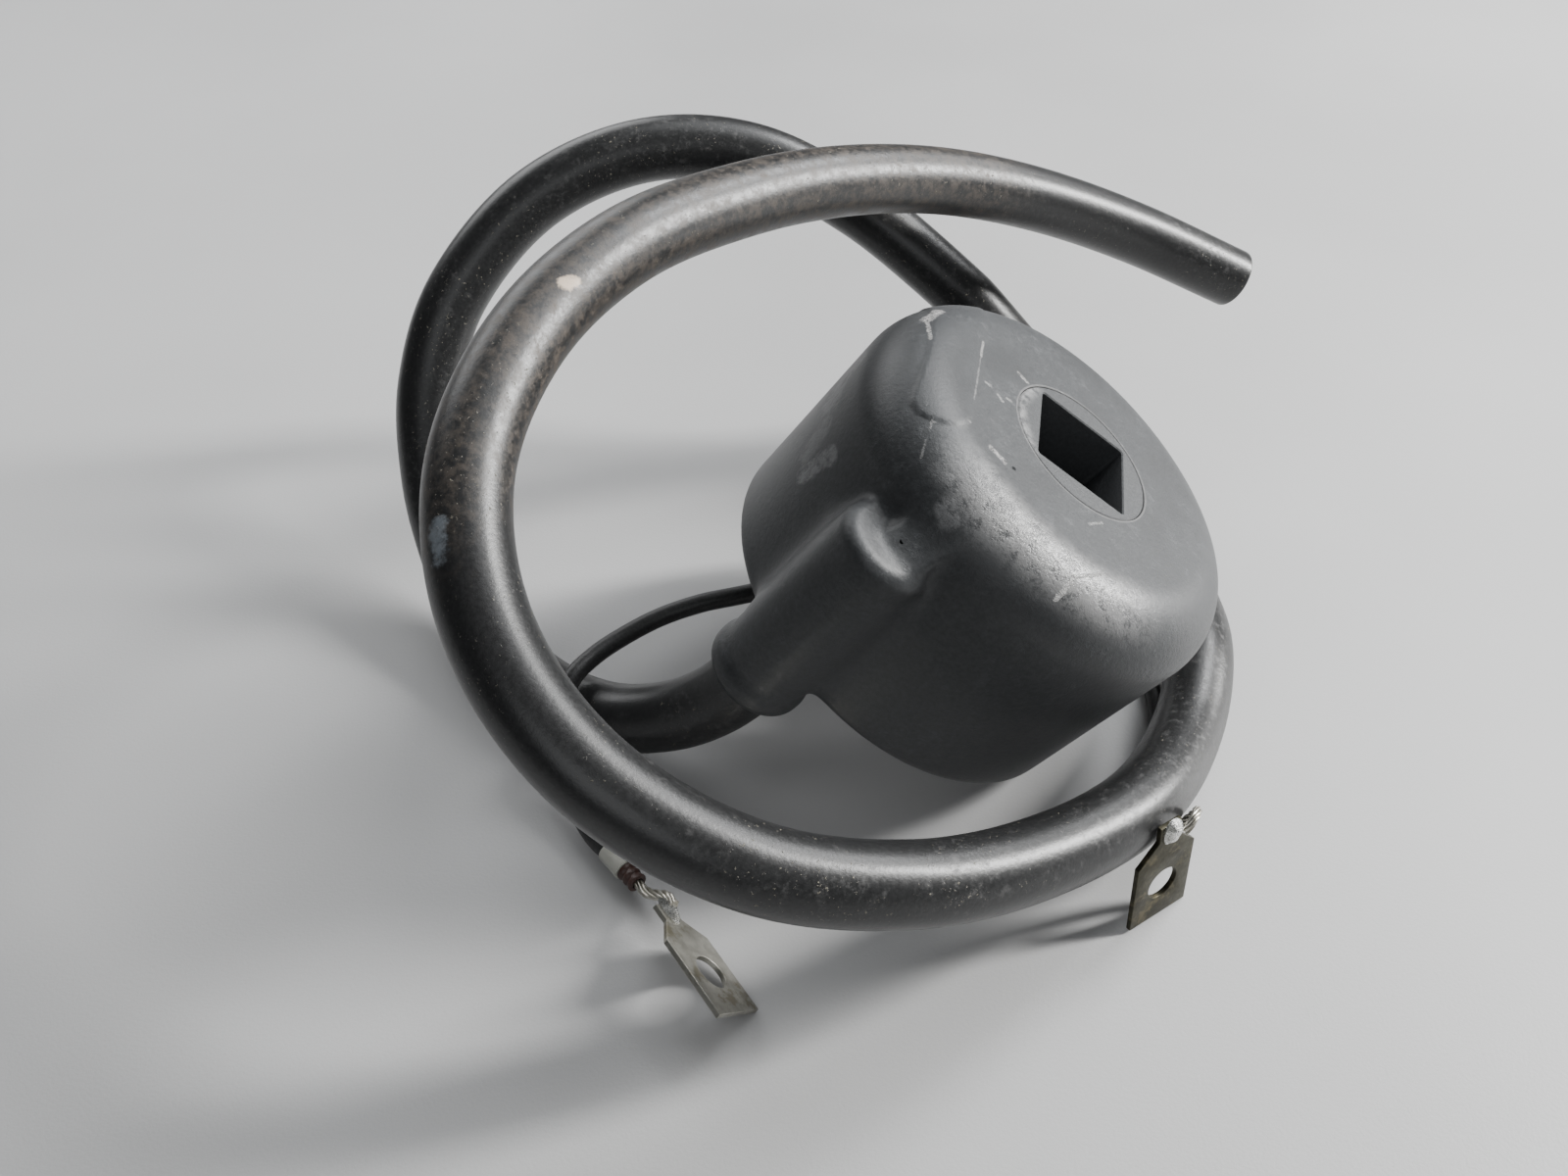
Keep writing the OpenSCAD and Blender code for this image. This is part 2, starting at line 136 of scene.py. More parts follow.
# %% Bench and lights
bench_mesh = bpy.data.meshes.new("bench")
bench_corners = [(-1.2, -0.8, 0), (1.2, -0.8, 0), (1.2, 1.6, 0), (-1.2, 1.6, 0)]
bench_mesh.from_pydata(bench_corners, [], [(0, 1, 2, 3)])
bench = in_scene("bench", bench_mesh)


def area_light(name, at, towards, size, watts, colour):
    """A rectangular area light at a place in metres, turned to face another place."""
    lamp = bpy.data.lights.new(name, "AREA")
    lamp.shape, lamp.size, lamp.size_y = "RECTANGLE", *size
    lamp.energy, lamp.color = watts, colour
    holder = in_scene(name, lamp)
    holder.location = at
    holder.rotation_euler = (Vector(towards) - Vector(at)).to_track_quat("-Z", "Y").to_euler()


def at_angle(azimuth, elevation, distance):
    """A place in metres round the coil, seen from the bench at these angles."""
    a, e = math.radians(azimuth), math.radians(elevation)
    flat = distance * math.cos(e)
    return flat * math.cos(a), flat * math.sin(a), distance * math.sin(e)


HERE = (0, 0, 0.02)
PANE, WALL_WHITE = (0.98, 0.99, 1.0), (0.96, 0.98, 1.0)
area_light("window", at_angle(18, 30, 0.6), HERE, (0.06, 0.30), 8.4, (1.0, 0.995, 0.98))
area_light("side_window", at_angle(52, 44, 0.6), HERE, (0.14, 0.20), 2.1, PANE)
area_light("back_wall", at_angle(128, 28, 0.8), HERE, (0.6, 0.4), 3.0, PANE)
area_light("ceiling", (0.22, 0.34, 0.7), (0, 0, 0), (0.6, 0.6), 2.7, WALL_WHITE)
area_light("room_side", at_angle(270, 35, 0.8), HERE, (0.5, 0.4), 1.0, WALL_WHITE)
world = bpy.data.worlds.new("room")
world.use_nodes = True
sky = world.node_tree.nodes["Background"].inputs
sky["Color"].default_value = (0.75, 0.77, 0.8, 1)
sky["Strength"].default_value = 0.12
bpy.context.scene.world = world
print("lights set")

# %% [markdown]
# ## Shader maths as Python
#
# A material is a sum of masks. One small class wraps a socket, so that the sums can
# be written as they are said: `1 - wear * 0.5` adds the Math nodes by itself. Every
# other node comes from `node`, which takes its settings first and then its sockets.


# %% A socket that can be added and multiplied
class Value:
    """A shader output that takes part in Python sums."""

    def __init__(self, shade, socket):
        self.shade, self.socket = shade, socket

    def math(self, operation, *others):
        sockets = {i: v for i, v in enumerate((self, *others))}
        return self.shade.node("Math", {"operation": operation}, sockets)

    def reflected(self, operation, first):
        return self.shade.node("Math", {"operation": operation}, {0: first, 1: self})

    def __add__(self, other):
        return self.math("ADD", other)

    def __sub__(self, other):
        return self.math("SUBTRACT", other)

    def __mul__(self, other):
        return self.math("MULTIPLY", other)

    def __rsub__(self, other):
        return self.reflected("SUBTRACT", other)

    __radd__ = __add__
    __rmul__ = __mul__


class Shade:
    """A material being built: one method adds any node."""

    def __init__(self, name):
        self.material = bpy.data.materials.new(name)
        self.material.use_nodes = True
        self.tree = self.material.node_tree
        self.tree.nodes.clear()

    def node(self, kind, settings=None, sockets=None, out=0):
        new = self.tree.nodes.new("ShaderNode" + kind)
        for key, value in (settings or {}).items():
            setattr(new, key, value)
        for key, value in (sockets or {}).items():
            if isinstance(value, Value):
                self.tree.links.new(value.socket, new.inputs[key])
            else:
                new.inputs[key].default_value = value
        return Value(self, new.outputs[out]) if new.outputs else None

    def place(self, of_coil=False):
        """Object coordinates in mm, in the coil's own frame where asked."""
        at = self.node("TexCoord", out="Object")
        if of_coil:
            return self.node("Mapping", {"vector_type": "TEXTURE"},
                             {"Vector": at, "Location": PLACE * MM, "Rotation": COIL.to_euler(),
                              "Scale": (MM,) * 3})
        return self.node("Mapping", {}, {"Vector": at, "Scale": (1 / MM,) * 3})

    def axis(self, vector, name):
        return self.node("SeparateXYZ", {}, {0: vector}, out=name)

    def noise(self, vector, scale, detail=4, rough=0.6):
        return self.node("TexNoise", {}, {"Vector": vector, "Scale": scale, "Detail": detail,
                                          "Roughness": rough})

    def step(self, value, low, high):
        """0 below low and 1 above high, smooth between them; low may be above high."""
        return self.node("MapRange", {"interpolation_type": "SMOOTHSTEP"},
                         {"Value": value, "From Min": low, "From Max": high})

    def stroke(self, at, start, end, width, ragged=0.0):
        """A mask along a straight stroke in mm, its border torn by a noise."""
        way = Vector(end) - Vector(start)
        seen = self.node("VectorMath", {"operation": "SUBTRACT"}, {0: at, 1: start})
        share = self.node("VectorMath", {"operation": "DOT_PRODUCT"},
                          {0: seen, 1: way / max(way.length_squared, 1e-6)}, out="Value")
        share = share.math("MAXIMUM", 0.0).math("MINIMUM", 1.0)
        foot = self.node("VectorMath", {"operation": "SCALE"}, {0: way, "Scale": share})
        away = self.node("VectorMath", {"operation": "DISTANCE"}, {0: seen, 1: foot}, out="Value")
        if ragged:
            away = away + (self.noise(at, 1.3, 4, 0.7) - 0.5) * ragged
        return self.step(away, width, width * 0.45)

    def blend(self, mask, first, second):
        """A colour that goes from the first to the second with the mask."""
        return self.node("Mix", {"data_type": "RGBA"}, {0: mask, 6: first, 7: second}, out=2)

    def bump(self, height, distance):
        """A normal that is raised by the height, over a distance in metres."""
        return self.node("Bump", {}, {"Height": height, "Distance": distance})

    def done(self, **sockets):
        """The Principled shader with these sockets, and the finished material."""
        surface = self.node("BsdfPrincipled", {},
                            {key.replace("_", " "): value for key, value in sockets.items()})
        self.node("OutputMaterial", {}, {"Surface": surface})
        return self.material


def grey(value, warm=0.0):
    """A grey in linear light, a little warmer or cooler."""
    return (value * (1 + warm), value, value * (1 - warm), 1)


def dress(thing, material):
    """The material goes in the object's first slot, and the others are dropped."""
    thing.data.materials.clear()
    thing.data.materials.append(material)
    return thing


print("shader helpers ready")

# %% [markdown]
# ## Bench finish
#
# A painted board: very even, a little sheen, with a grain too small to draw the eye.

# %% Bench paint
shade = Shade("bench_paint")
at = shade.place()
cloud = shade.noise(at, 0.012, 3, 0.5)
grain = shade.noise(at, 3.0, 2, 0.6)
dress(bench, shade.done(
    Base_Color=shade.blend(shade.step(cloud, 0.35, 0.65), grey(0.42), grey(0.45)),
    Roughness=0.42 + grain * 0.08,
    Normal=shade.bump(grain, 0.00002)))
print("bench painted")

# %% [markdown]
# ## Tubes that follow a route
#
# A lead is one round section carried along a smooth line. A curve object with a
# bevel would do, but a mesh swept by hand has its own UV map, with U round the lead
# and V along it in millimetres, and that is what the rubber's wear and moulding
# lines follow. The frame is carried along without twist, so V lines stay straight.


# %% Smooth routes and swept tubes
def smooth_route(points, step):
    """Points about `step` apart on a Catmull-Rom curve through the given ones."""
    p = np.asarray(points, float)
    p = np.vstack([2 * p[0] - p[1], p, 2 * p[-1] - p[-2]])
    line = []
    for a, b, c, d in zip(p, p[1:], p[2:], p[3:]):
        count = max(1, round(float(np.linalg.norm(c - b)) / step))
        for i in range(count):
            t = i / count
            line.append(0.5 * (2 * b + (c - a) * t + (2 * a - 5 * b + 4 * c - d) * t ** 2
                               + (3 * b - a - 3 * c + d) * t ** 3))
    return np.array(line + [p[-2]])


def run_of(line):
    """Distance along a line at each of its points."""
    return np.concatenate([[0], np.cumsum(np.linalg.norm(np.diff(line, axis=0), axis=1))])


def frames_along(line):
    """The heading and two unit normals at each point of a line, carried without twist."""
    heading = np.gradient(line, axis=0)
    heading /= np.linalg.norm(heading, axis=1)[:, None]
    first = np.array([0, 0, 1.0]) if abs(heading[0][2]) < 0.9 else np.array([1.0, 0, 0])
    across = []
    for h in heading:
        first = first - h * first.dot(h)
        first /= np.linalg.norm(first)
        across.append(first)
    across = np.array(across)
    return heading, across, np.cross(heading, across)


def smoothed(mesh, angle):
    """The mesh, shaded smooth but for the edges that are sharper than the angle."""
    mesh.shade_smooth()
    mesh.set_sharp_from_angle(angle=math.radians(angle))
    return mesh


def mesh_object(name, points, faces, uv=None, smooth_angle=40):
    """An object from points in mm and faces."""
    mesh = bpy.data.meshes.new(name)
    mesh.from_pydata((np.asarray(points) * MM).tolist(), [], faces)
    if uv is not None:
        layer = mesh.uv_layers.new(name="UVMap")
        layer.data.foreach_set("uv", np.asarray(uv, np.float32).ravel())
    return in_scene(name, smoothed(mesh, smooth_angle))


def loft_faces(rings, sides, joined=False):
    """Quads between rings of points. The last ring is joined to the first, or else the
    first and the last are filled."""
    faces = []
    for k in range(rings if joined else rings - 1):
        m = (k + 1) % rings
        for j in range(sides):
            n = (j + 1) % sides
            faces.append((k * sides + j, k * sides + n, m * sides + n, m * sides + j))
    if not joined:
        top = (rings - 1) * sides
        faces += [tuple(reversed(range(sides))), tuple(range(top, top + sides))]
    return faces


PINHOLE = 0.02  # radius of the ring in the middle of an end face


def rounded_edge(line, heading, radius, run, i, edge):
    """Rings round the edge of a rod's first or last face, from the face to the side."""
    inwards = 1 if i == 0 else -1
    rings = []
    for share in (0.3, 0.65, 1.0):
        turn = share * math.pi / 2
        along = inwards * edge * (1 - math.cos(turn))
        ring_r = radius[i] - edge + edge * math.sin(turn)
        rings.append((line[i] + heading[i] * along, ring_r, i, run[i] + along))
    return rings


def rod_rings(line, heading, radius, edge, hollow, hollow_depth):
    """A rod's rings in order, each a centre, a radius, a point's number and a run."""
    run, last = run_of(line), len(line) - 1
    near, far = (rounded_edge(line, heading, radius, run, i, edge) for i in (0, last))
    middle = [(line[i], radius[i], i, run[i]) for i in range(last)
              if min(run[i], run[-1] - run[i]) >= edge]
    rings = [(line[0], radius[0] - edge, 0, 0.0), *near, *middle, *far[::-1],
             (line[-1], radius[-1] - edge, last, run[-1])]
    if hollow and not hollow_depth:
        return rings + [(line[i], hollow, i, run[i]) for i in reversed(range(last + 1))]
    floor = line[-1] - heading[-1] * hollow_depth
    if hollow:
        rings += [(line[-1], hollow, last, run[-1]), (floor, hollow, last, run[-1])]
    return [(line[0], PINHOLE, 0, 0.0), *rings, (floor, PINHOLE, last, run[-1])]


def rod_uv(runs, sides, joined):
    """UV of a rod's quads and end faces: U once round it, V along it in mm."""
    uv = []
    for k in range(len(runs) if joined else len(runs) - 1):
        v0, v1 = runs[k], runs[(k + 1) % len(runs)]
        for j in range(sides):
            u0, u1 = j / sides, (j + 1) / sides
            uv += [(u0, v0), (u1, v0), (u1, v1), (u0, v1)]
    if not joined:
        uv += [(0.5, 0.0)] * sides + [(0.5, float(runs[-1]))] * sides
    return uv


def swept(name, line, radius, sides, edge, hollow=0.0, hollow_depth=0.0):
    """A closed rod round a line. radius is a number or one value to each point, edge
    rounds both ends, and hollow is the radius of a hole from the far end, which goes
    right through if it is given no depth."""
    line = np.asarray(line, float)
    heading, across, up = frames_along(line)
    radius = np.broadcast_to(np.asarray(radius, float), len(line))
    rings = rod_rings(line, heading, radius, edge, hollow, hollow_depth)
    angle = np.linspace(0, 2 * math.pi, sides, endpoint=False)
    points = np.vstack([c + r * (np.cos(angle)[:, None] * across[i] + np.sin(angle)[:, None] * up[i])
                        for c, r, i, _ in rings])
    through = bool(hollow) and not hollow_depth
    uv = rod_uv([run for *_, run in rings], sides, through)
    return mesh_object(name, points, loft_faces(len(rings), sides, through), uv)


# %% [markdown]
# ## The routes
#
# These are the routes of the solids, in millimetres. The thick lead leaves the tower,
# comes down to the bench on the left, curls up over the back of the coil, down behind
# it, round the front and over itself again, and ends cut off bare.

# %% Routes of the three leads
HT_ROUTE = [tuple(p) for p in on_bench(
    [(0, 0, LEAD_DEPTH), (0, 0, (LEAD_DEPTH - TOWER_TAIL) / 2), (0, 0, -TOWER_TAIL)], TOWER)] + [
    (-23.7, -15.6, 12.4), (-28.1, -15, 8.8), (-33.4, -13.6, 5.9), (-38.5, -11.5, 4.3),
    (-43.7, -8.5, 3.7), (-48.9, -4.4, 4.1), (-53.5, 0.8, 5.8), (-57.4, 6.8, 9),
    (-60.4, 13.3, 13.4), (-61.5, 20.5, 20.5), (-58.8, 28, 28.5), (-50.8, 36, 36),
    (-39.3, 42, 39.5), (-26.8, 45.5, 38), (-14.3, 45.5, 32), (-2.3, 42.5, 24),
    (3.5, 40.2, 19.3), (17, 31.4, 8.2), (23.2, 21.8, 4.2), (26, 12.2, 3.6), (26, 2.1, 5.2),
    (23.2, -9, 5.5),
    (16.7, -21, 9), (6.7, -30.5, 13), (-4.8, -37.5, 18), (-17.3, -40.5, 23.5),
    (-29.3, -38, 30), (-37.8, -30.5, 36.5), (-41.3, -19.5, 42.5), (-39.3, -6.5, 46.5),
    (-33.3, 6, 48), (-24.8, 18, 46.5), (-15.3, 28, 44), (-4.8, 37, 40),
    (6.7, 43.5, 35), (19.2, 48, 29), (32.7, 50, 22.5)]
LEAD_STARTS = [[tuple(p) for p in on_bench([(x, y, THIN_DEPTH), (x, y, -0.8)])] for x, y in LEAD_XY]
LEAD_1_ROUTE = LEAD_STARTS[0] + [
    (-16.5, 1.6, 13), (-19.5, 0.7, 11.9), (-23.3, -0.6, 11.6), (-27.3, -2, 11.4),
    (-31.3, -3.8, 10.8), (-34.9, -6.2, 10), (-37.5, -8.9, 9.6), (-39.2, -11.9, 9.2),
    (-39.8, -15, 7.5), (-39.1, -18.4, 5), (-37.4, -21.9, 2.9), (-35.2, -24.9, 2.1),
    (-33.1, -26.9, 2.2)]
LEAD_2_ROUTE = LEAD_STARTS[1] + [
    (-2, 9.9, 4.8), (-4.2, 12, 2.6), (-4.5, 15, 1.4), (-2.5, 18, 1.2), (1.7, 19.8, 1.2),
    (6.7, 19.8, 1.2), (11.5, 18, 1.2), (15.9, 14.3, 1.2), (19.3, 9.2, 1.2), (21.2, 3.5, 1.2),
    (21.8, -2.5, 1.2), (21.4, -8, 1.2), (20.3, -13, 1.4), (19.8, -16.6, 2.2), (20, -18.9, 3.5)]
SLEEVE_ENDS = ((-33.1, -26.9, 2.2), (-31, -28.9, 2.3))
FERRULE_ENDS = ((-31, -28.9, 2.3), (-29.53, -30.3, 2.37))
STRANDS_1 = ((-33.1, -26.9, 2.2), (-31, -28.9, 2.3), (-29.53, -30.3, 2.37), (-28.69, -31.1, 2.41),
             (-27.5, -31.9, 3.4), (-26.2, -32.75, 4.75), (-25.4, -33.7, 5))
STRANDS_2 = ((20, -18.9, 3.5), (20.08, -19.82, 4.02), (20.8, -21.4, 6.6), (21.1, -22.4, 9.4),
             (20.9, -23.3, 11.3), (20.3, -24.6, 11.9), (19.5, -25.6, 11.1))

# %% [markdown]
# ## Rubber of the output lead
#
# The lead is black synthetic rubber, satin, with bench dust in its grain. The grain
# and the specks follow the surface through the UV map, where V runs in millimetres.
# The dust thickens in patches, brown on one loop of the lead. A nick and a pale spot
# are strokes in the room's own place, because each is there only once.

# %% Lead rubber
def cord_place(shade, radius):
    """UV scaled so that one unit is a millimetre both ways, wrapped round the cord."""
    uv = shade.node("UVMap", {"uv_map": "UVMap"})
    u, v = shade.axis(uv, "X"), shade.axis(uv, "Y")
    turn = u * (2 * math.pi)
    return shade.node("CombineXYZ", {}, {
        "X": turn.math("COSINE") * radius, "Y": turn.math("SINE") * radius, "Z": v})


NICK = ((-36.5, -4, 50), (-35.5, -3.5, 50))
PALE_SPOT = ((-41, -28, 41), (-41.5, -26, 42.5))

shade = Shade("lead_rubber")
at = cord_place(shade, HT_R)
room = shade.place()
grain = shade.noise(at, 2.6, 3, 0.65)
patch = shade.noise(room, 0.06, 3, 0.55)
dust = shade.step(shade.noise(at, 1.1, 5, 0.75), 0.50, 0.72) * shade.step(patch, 0.42, 0.62)
brown = shade.stroke(room, (-38, -4, 49), (-6, 36, 43), 15, 9.0)
brown = brown.math("MAXIMUM", shade.stroke(room, (-46, -22, 42), (-38, -4, 48), 11, 9.0) * 0.8)
mud = brown * shade.step(shade.noise(at, 0.9, 5, 0.75), 0.40, 0.66)
speck = shade.step(shade.noise(at, 2.8, 3, 0.7), 0.64, 0.71)
speck = speck * shade.step(shade.noise(room, 0.11, 2, 0.5), 0.36, 0.58)
base = shade.blend(shade.step(grain, 0.3, 0.7), grey(0.012, -0.02), grey(0.019, -0.02))
base = shade.blend(dust * 0.5, base, shade.blend(brown, grey(0.10, 0.01), (0.15, 0.115, 0.085, 1)))
base = shade.blend(mud * 0.5, base, (0.100, 0.080, 0.063, 1))
base = shade.blend(speck * 0.55, base, (0.30, 0.27, 0.20, 1))
base = shade.blend(shade.stroke(room, *NICK, 0.75, 1.2) * 0.9, base, (0.62, 0.50, 0.38, 1))
base = shade.blend(shade.stroke(room, *PALE_SPOT, 1.1, 1.4) * 0.55, base, (0.30, 0.34, 0.38, 1))
RUBBER = shade.done(
    Base_Color=base,
    Roughness=0.29 + grain * 0.10 + dust * 0.20 + speck * 0.2 + mud * 0.14,
    Specular_IOR_Level=0.5,
    Normal=shade.bump(grain * 0.6 + speck * 0.8, 0.000028))

shade = Shade("flying_lead")
at = cord_place(shade, THIN_R)
grain = shade.noise(at, 3.5, 3, 0.6)
THIN_RUBBER = shade.done(
    Base_Color=shade.blend(shade.step(grain, 0.35, 0.7), grey(0.016), grey(0.03)),
    Roughness=0.34 + grain * 0.15,
    Normal=shade.bump(grain, 0.00003))
print("rubber mixed")

# %% Output lead
CORD_STEP = 0.9
ht_line = smooth_route(HT_ROUTE, CORD_STEP)
CORE_R, CORE_L = 0.75, 6.0
ht_lead = dress(swept("output_lead", ht_line, HT_R, 56, 0.2, CORE_R + FIT / 2, CORE_L), RUBBER)
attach(ht_lead, "root")
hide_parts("ht_lead")

# %% Flying leads
thin_leads, thin_lines = [], []
for number, route in ((1, LEAD_1_ROUTE), (2, LEAD_2_ROUTE)):
    line = smooth_route(route, 0.5)
    lead = dress(swept(f"flying_lead_{number}_skin", line, THIN_R, 24, 0.08), THIN_RUBBER)
    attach(lead, "root")
    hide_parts(f"flying_lead_{number}")
    thin_leads.append(lead)
    thin_lines.append(line)
    print("flying lead", number, round(run_of(line)[-1], 1), "mm")

# %% [markdown]
# ## The moulding as a distance field
#
# The body, its rounded rim, the tower on its side and the webs between them are one
# moulded skin, with no edge where one runs into the next. Booleans would leave a
# hard crease there, and a subdivision cage is hard to hold round. So the skin is
# written as a distance field, in the coil's own frame and in mm, where a smooth
# minimum makes the webs, and a surface net turns the field into even quads. A slope
# at 45 degrees fills the corner between the tower's end and the rim. Its form is a
# guess, and the CAD model doesn't have it.


# %% Distance fields
def rounded(r, z, radius, z0, z1, low_r, high_r):
    """Distance to a turned block of that radius from z0 to z1, each rim rounded."""
    rim = np.where(z > (z0 + z1) / 2, high_r, low_r)
    qr = r - radius + rim
    qz = np.abs(z - (z0 + z1) / 2) - (z1 - z0) / 2 + rim
    outside = np.hypot(np.maximum(qr, 0), np.maximum(qz, 0))
    return outside + np.minimum(np.maximum(qr, qz), 0) - rim


def smooth_min(a, b, k):
    """The lower of two fields, with a fillet of about k between them."""
    h = np.maximum(k - np.abs(a - b), 0) / k
    return np.minimum(a, b) - h ** 3 * k / 6


def smooth_max(a, b, k):
    return -smooth_min(-a, -b, k)


def smooth_range(v, low, high):
    t = np.clip((v - low) / (high - low), 0, 1)
    return t * t * (3 - 2 * t)


TOWER_XY = TOWER_REACH * np.array([math.cos(TOWER_ANGLE), math.sin(TOWER_ANGLE)])
COLLAR_H, COLLAR_EDGE, COLLAR_BLEND = 2.6, 0.9, 1.2
PAD_W, PAD_REACH, PAD_RUN, PAD_H = 5.2, 15, 7.1, 0.15
DISH_OUT, DISH_BALL, DISH_DEPTH, DISH_EDGE = 1.3, 4, 0.25, 0.15
WEB, WEB_LESS_ABOVE, WEB_LESS_BELOW = 5.2, 3.0, 3.4
SHOULDER_OUT, SHOULDER_SIDE, SHOULDER_INSET, SHOULDER_BLEND = 1.8, -1.0, 0.9, 1.6


def body_field(x, y, z):
    """The turned body with the raised pad on it."""
    body = rounded(np.hypot(x, y), z, BODY_R, 0, BODY_H, BACK_R, RIM_R)
    strip = np.hypot(x + PAD_REACH, np.minimum(y + PAD_RUN, 0)) - PAD_W / 2
    strip = np.maximum(strip, BODY_H - RIM_R - z)
    return smooth_min(body, np.maximum(body - PAD_H, strip), 0.1)


def tower_frame(x, y):
    """How far out of the tower's axis a place lies, and how far to its side."""
    c, s = math.cos(TOWER_ANGLE), math.sin(TOWER_ANGLE)
    return x * c + y * s - TOWER_REACH, y * c - x * s


def tower_field(r, out, side, z):
    """The tower with its thicker mouth, and a shallow dish in its end."""
    tower = rounded(r, z, TOWER_R, -TOWER_TAIL, TOWER_TOP, MOUTH_R, TIP_R)
    collar = rounded(r, z, COLLAR_R, -TOWER_TAIL, COLLAR_H - TOWER_TAIL, MOUTH_R, COLLAR_EDGE)
    ball_z = TOWER_TOP + DISH_BALL - DISH_DEPTH
    ball = np.sqrt((out - DISH_OUT) ** 2 + side ** 2 + (z - ball_z) ** 2) - DISH_BALL
    dish = np.maximum(ball, np.hypot(out - DISH_OUT, side) - DISH_BALL / 2)
    return smooth_max(smooth_min(tower, collar, COLLAR_BLEND), -dish, DISH_EDGE)


def web_size(z):
    """The fillet between tower and body, which narrows near the tower's two ends."""
    above = smooth_range(z, TOWER_TOP - 5, TOWER_TOP)
    below = smooth_range(-z, -2.4, 0.4)
    return WEB - WEB_LESS_ABOVE * above - WEB_LESS_BELOW * below


def shoulder_field(r, out, side, z):
    """A column over the tower, cut off above by a 45 degree slope and at one side."""
    slope = (z - TOWER_TOP + out - SHOULDER_OUT) / math.sqrt(2)
    shoulder = smooth_max(r - TOWER_R + SHOULDER_INSET, slope, SHOULDER_BLEND)
    shoulder = smooth_max(shoulder, SHOULDER_SIDE - side, 2.4)
    return np.maximum(shoulder, TOWER_TOP - 2 - z)


def case_field(p):
    """Distance to the moulding's outer skin."""
    x, y, z = p[..., 0], p[..., 1], p[..., 2]
    r = np.hypot(x - TOWER_XY[0], y - TOWER_XY[1])
    out, side = tower_frame(x, y)
    skin = smooth_min(body_field(x, y, z), tower_field(r, out, side, z), web_size(z))
    return smooth_min(skin, shoulder_field(r, out, side, z), SHOULDER_BLEND)


def surface_net(field, low, high, cell):
    """Points and quads round a field's zero: one point to each cell that it crosses."""
    low, high = np.asarray(low, float), np.asarray(high, float)
    n = np.ceil((high - low) / cell).astype(int) + 1
    axes = [low[i] + cell * np.arange(n[i]) for i in range(3)]
    grid = np.stack(np.meshgrid(*axes, indexing="ij"), -1)
    inside = field(grid) < 0
    part = [slice(0, -1), slice(1, None)]
    corners = [inside[part[i], part[j], part[k]] for i in (0, 1) for j in (0, 1) for k in (0, 1)]
    crossed = np.logical_or.reduce(corners) & ~np.logical_and.reduce(corners)
    number = np.full(crossed.shape, -1)
    number[crossed] = np.arange(crossed.sum())
    points = low + cell * (np.argwhere(crossed) + 0.5)
    quads = []
    for axis in range(3):
        b, c = (axis + 1) % 3, (axis + 2) % 3
        near, far = [slice(1, -1)] * 3, [slice(1, -1)] * 3
        near[axis], far[axis] = slice(0, -1), slice(1, None)
        here, there = inside[tuple(near)], inside[tuple(far)]
        for flip, mask in ((False, here & ~there), (True, there & ~here)):
            at = np.argwhere(mask)
            at[:, b] += 1
            at[:, c] += 1
            ring = []
            for db, dc in ((-1, -1), (0, -1), (0, 0), (-1, 0)):
                q = at.copy()
                q[:, b] += db
                q[:, c] += dc
                ring.append(number[q[:, 0], q[:, 1], q[:, 2]])
            quads.append(np.stack(ring[::-1] if flip else ring, 1))
    return points, np.vstack(quads)


PROBE, ROUNDS = 0.01, 6


def settle(points, quads, field):
    """Points evened out over the surface and moved on to the field's zero."""
    edges = np.vstack([quads[:, [i, (i + 1) % 4]] for i in range(4)])
    count = np.bincount(edges.ravel(), minlength=len(points))
    for turn in range(ROUNDS + 2):
        if turn and turn < ROUNDS:
            total = np.stack([np.bincount(edges[:, 0], points[edges[:, 1], i], len(points))
                              + np.bincount(edges[:, 1], points[edges[:, 0], i], len(points))
                              for i in range(3)], 1)
            points = 0.4 * points + 0.6 * total / count[:, None]
        slope = np.stack([field(points + e) - field(points - e) for e in PROBE * np.eye(3)], 1)
        slope /= 2 * PROBE
        points = points - (field(points) / np.maximum((slope ** 2).sum(1), 0.05))[:, None] * slope
    return points


CASE_CELL = 0.36
case_points, case_quads = surface_net(case_field, (-22, -24, -5), (22, 22, 27.2), CASE_CELL)
case_points = settle(case_points, case_quads, case_field)
print("case skin:", len(case_points), "points,", len(case_quads), "quads")

# %% [markdown]
# ## The bores
#
# The moulding is hollow where the winding, the former, the lead and the joints sit.
# Each hollow is a turned cutter, taken away with a Boolean modifier, so that its edge
# stays as crisp as a core pin leaves it. The Manifold solver is quick, and it suits
# closed meshes such as these.


# %% Turned cutters
def turned_piece(name, profile, matrix, sides=128):
    """A closed solid turned round Z from (radius, height) pairs, lowest first, in mm."""
    angle = np.linspace(0, 2 * math.pi, sides, endpoint=False)
    ring = np.stack([np.cos(angle), np.sin(angle)], 1)
    points = np.vstack([np.column_stack([r * ring, np.full(sides, z)]) for r, z in profile])
    return mesh_object(name, on_bench(points, matrix), loft_faces(len(profile), sides))


def plain_mesh(thing):
    """What the thing's modifiers or its curve make, as a mesh of its own."""
    bpy.context.view_layer.update()
    graph = bpy.context.evaluated_depsgraph_get()
    return bpy.data.meshes.new_from_object(thing.evaluated_get(graph))


def cut(thing, *cutters):
    """The cutters are taken out of the thing, and then they are deleted."""
    for cutter in cutters:
        take = thing.modifiers.new("cut", "BOOLEAN")
        take.object, take.operation, take.solver = cutter, "DIFFERENCE", "MANIFOLD"
        result = plain_mesh(thing)
        thing.modifiers.clear()
        thing.data = result
        bpy.data.objects.remove(cutter)
    return thing


def beside(matrix, x, y):
    """The same frame, moved over by x and y of its own."""
    return matrix @ Matrix.Translation((x, y, 0))


